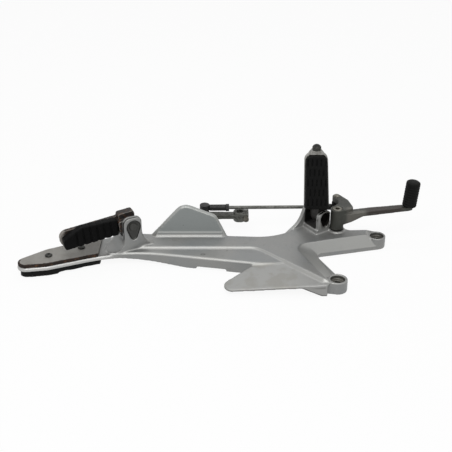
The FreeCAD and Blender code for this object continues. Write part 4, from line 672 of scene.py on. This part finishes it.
def dress(piece, material):
    piece.data.materials.clear()
    piece.data.materials.append(material)


# How each softened piece is made: voxel, rounds of rounding and triangle budget, and lumps where it is uneven
SOFT_PIECES = {
    "hanger_casting": dict(voxel=0.9, rounds=10, triangles=180000),
    "rear_cover_plate": dict(voxel=0.6, rounds=2, triangles=50000, lumps=0.25, lump_size=0.004),
    "rear_pad": dict(voxel=0.8, rounds=14, triangles=30000, lumps=1.6, lump_size=0.011),
    "rider_peg_body": dict(voxel=0.6, rounds=4, triangles=60000),
    "rider_peg_rubber": dict(voxel=0.5, rounds=8, triangles=80000, lumps=0.2, lump_size=0.006),
    "passenger_peg_body": dict(voxel=0.6, rounds=4, triangles=40000, lumps=0.3, lump_size=0.004),
    "passenger_peg_rubber": dict(voxel=0.6, rounds=30, triangles=60000, lumps=0.8, lump_size=0.006),
    "shift_lever": dict(voxel=0.6, rounds=5, triangles=50000, lumps=0.15, lump_size=0.006),
    "toe_rubber": dict(voxel=0.4, rounds=2, triangles=50000),
    "shift_arm": dict(voxel=0.5, rounds=5, triangles=30000, lumps=0.2, lump_size=0.005),
    "front_rod_end": dict(voxel=0.4, rounds=5, triangles=20000),
    "rear_rod_end": dict(voxel=0.4, rounds=5, triangles=20000),
    "front_rod_boot": dict(voxel=0.35, rounds=3, triangles=15000),
    "rear_rod_boot": dict(voxel=0.35, rounds=3, triangles=15000),
}

black_rubber = rubber("black_rubber", RUBBER_BLACK, RUBBER_WORN, RUBBER_DUST)
sleeve_rubber = rubber("sleeve_rubber", RUBBER_BLACK, RUBBER_BLACK, RUBBER_WORN, specular=0.07)
boot_rubber = rubber("boot_rubber", BOOT_BLACK, RUBBER_WORN, RUBBER_DUST)
zinc_steel = metal("zinc_steel", ZINC, ZINC_DULL, roughness=0.42, spot=0.2)
dark_steel = metal("dark_steel", STEEL, STEEL_DULL, roughness=0.45, metallic=0.6, spot=0.3)
black_steel = metal("black_steel", BOOT_BLACK, RUBBER_WORN, roughness=0.5, metallic=0.3)
plate_screw_steel = metal("plate_screw_steel", STEEL_DULL, RUBBER_WORN, roughness=0.5, metallic=0.5)
spring_steel = metal("spring_steel", SPRING, STEEL_DULL, roughness=0.4)
rod_steel = metal("rod_steel", ROD_GREY, ROD_DULL, roughness=0.42, metallic=0.5, spot=0.1)
# Hinge pins darkened: the rider pin as painted shade, the passenger pin as dirt and painted shade
shaded_black_pin = metal("shaded_black_pin", RECESS_SHADE_BLACK, RECESS_SHADE_BLACK, roughness=0.6, metallic=1.0)
grimy_shaded_pin = metal("grimy_shaded_pin", RECESS_GRIME_AND_SHADE, STEEL_DULL, roughness=0.55, metallic=0.3)
bush_bronze = metal("bush_bronze", BRONZE, ZINC_DULL, roughness=0.4)

MATERIALS = {
    "hanger_casting": silver_coat(),
    "rear_cover_plate": worn_plate(),
    "passenger_peg_body": rusty_root(),
    "passenger_peg_rubber": sleeve_rubber,
    "rider_peg_pin": shaded_black_pin,
    "passenger_peg_pin": grimy_shaded_pin,
    "shift_rod": rod_steel,
    "rider_peg_feeler": plate_screw_steel,
    "shift_lever": lever_steel(),
    "shift_arm": arm_steel(),
    "front_locknut": black_steel,
    "rear_locknut": black_steel,
    "front_rod_end": black_steel,
    "rear_rod_end": black_steel,
    "front_rod_boot": boot_rubber,
    "rear_rod_boot": boot_rubber,
    "plate_screws": plate_screw_steel,
}
SLOT_MATERIALS = {
    "black_rubber": black_rubber,
    "zinc_steel": zinc_steel,
    "spring_steel": spring_steel,
    "peg_casting": peg_casting(),
    "dark_steel": dark_steel,
    "bush_bronze": bush_bronze,
}

for node in sorted(frame["nodes"]):
    material = MATERIALS.get(node) or SLOT_MATERIALS[NODE_SLOT[node]]
    piece = frame["nodes"][node]
    if node in SOFT_PIECES:
        piece = finished(node, **SOFT_PIECES[node])
    if node == "rear_cover_plate":
        mark_edges(piece.data)
    dress(piece, material)


# Studio
def seen_directly(tree):
    """1 for camera, glossy and transmission rays, and 0 for diffuse ones."""
    path = tree.nodes.new("ShaderNodeLightPath")
    total = path.outputs["Is Camera Ray"]
    for kind in ("Is Glossy Ray", "Is Transmission Ray"):
        either = tree.nodes.new("ShaderNodeMath")
        either.operation = "MAXIMUM"
        tree.links.new(total, either.inputs[0])
        tree.links.new(path.outputs[kind], either.inputs[1])
        total = either.outputs["Value"]
    return total


def make_room():
    """White to the eye and in reflections, and dimmer as a light."""
    world = bpy.data.worlds.new("room")
    bpy.context.scene.world = world
    world.use_nodes = True
    tree = world.node_tree
    strength = tree.nodes.new("ShaderNodeMapRange")
    strength.inputs["To Min"].default_value = ROOM_LIGHT
    strength.inputs["To Max"].default_value = 1.0
    tree.links.new(seen_directly(tree), strength.inputs["Value"])
    background = tree.nodes["Background"]
    background.inputs["Color"].default_value = (1.0, 1.0, 1.0, 1.0)
    tree.links.new(strength.outputs["Result"], background.inputs["Strength"])


def make_floor():
    """Pale floor that is partly white by itself, so that its shadow stays light."""
    half = FLOOR_SIDE / 2
    level = CAD_BOX[0].z - FLOOR_DROP
    mesh = bpy.data.meshes.new("floor")
    corners = [(-half, -half, level), (half, -half, level), (half, half, level), (-half, half, level)]
    mesh.from_pydata(corners, [], [(0, 1, 2, 3)])
    floor = bpy.data.objects.new("floor", mesh)
    bpy.context.scene.collection.objects.link(floor)
    material = bpy.data.materials.new("floor")
    material.use_nodes = True
    tree = material.node_tree
    shader = tree.nodes["Principled BSDF"]
    shader.inputs["Base Color"].default_value = (FLOOR_GREY, FLOOR_GREY, FLOOR_GREY, 1.0)
    shader.inputs["Roughness"].default_value = FLOOR_ROUGHNESS
    shader.inputs["Specular IOR Level"].default_value = 0.0
    white = tree.nodes.new("ShaderNodeEmission")
    mixed = tree.nodes.new("ShaderNodeMixShader")
    share = tree.nodes.new("ShaderNodeMath")
    share.operation = "MULTIPLY"
    share.inputs[1].default_value = FLOOR_OWN_WHITE
    tree.links.new(seen_directly(tree), share.inputs[0])
    tree.links.new(share.outputs["Value"], mixed.inputs["Fac"])
    tree.links.new(shader.outputs["BSDF"], mixed.inputs[1])
    tree.links.new(white.outputs["Emission"], mixed.inputs[2])
    tree.links.new(mixed.outputs["Shader"], tree.nodes["Material Output"].inputs["Surface"])
    mesh.materials.append(material)


def make_softbox(name, bearing, elevation, distance, width, height, radiance):
    """Area lamp that faces the middle of the part; bearing 0 is on the camera's side."""
    middle = (CAD_BOX[0] + CAD_BOX[1]) / 2
    a = math.radians(bearing)
    e = math.radians(elevation)
    back = Vector((math.sin(a) * math.cos(e), -math.cos(a) * math.cos(e), math.sin(e)))
    data = bpy.data.lights.new(name, "AREA")
    data.shape = "RECTANGLE"
    data.size = width
    data.size_y = height
    data.energy = radiance * math.pi * width * height
    lamp = bpy.data.objects.new(name, data)
    lamp.location = middle + back * distance
    lamp.rotation_euler = (-back).to_track_quat("-Z", "Y").to_euler()
    bpy.context.scene.collection.objects.link(lamp)


def make_camera():
    data = bpy.data.cameras.new("camera")
    data.sensor_width = CAMERA_SENSOR
    data.lens = CAMERA_LENS
    camera = bpy.data.objects.new("camera", data)
    camera.location = CAMERA_PLACE
    camera.rotation_euler = (math.radians(CAMERA_TILT), 0.0, 0.0)
    bpy.context.scene.collection.objects.link(camera)
    bpy.context.scene.camera = camera


make_room()
make_floor()
for softbox in SOFTBOXES:
    make_softbox(*softbox)
make_camera()
bpy.context.scene.view_settings.view_transform = "Standard"
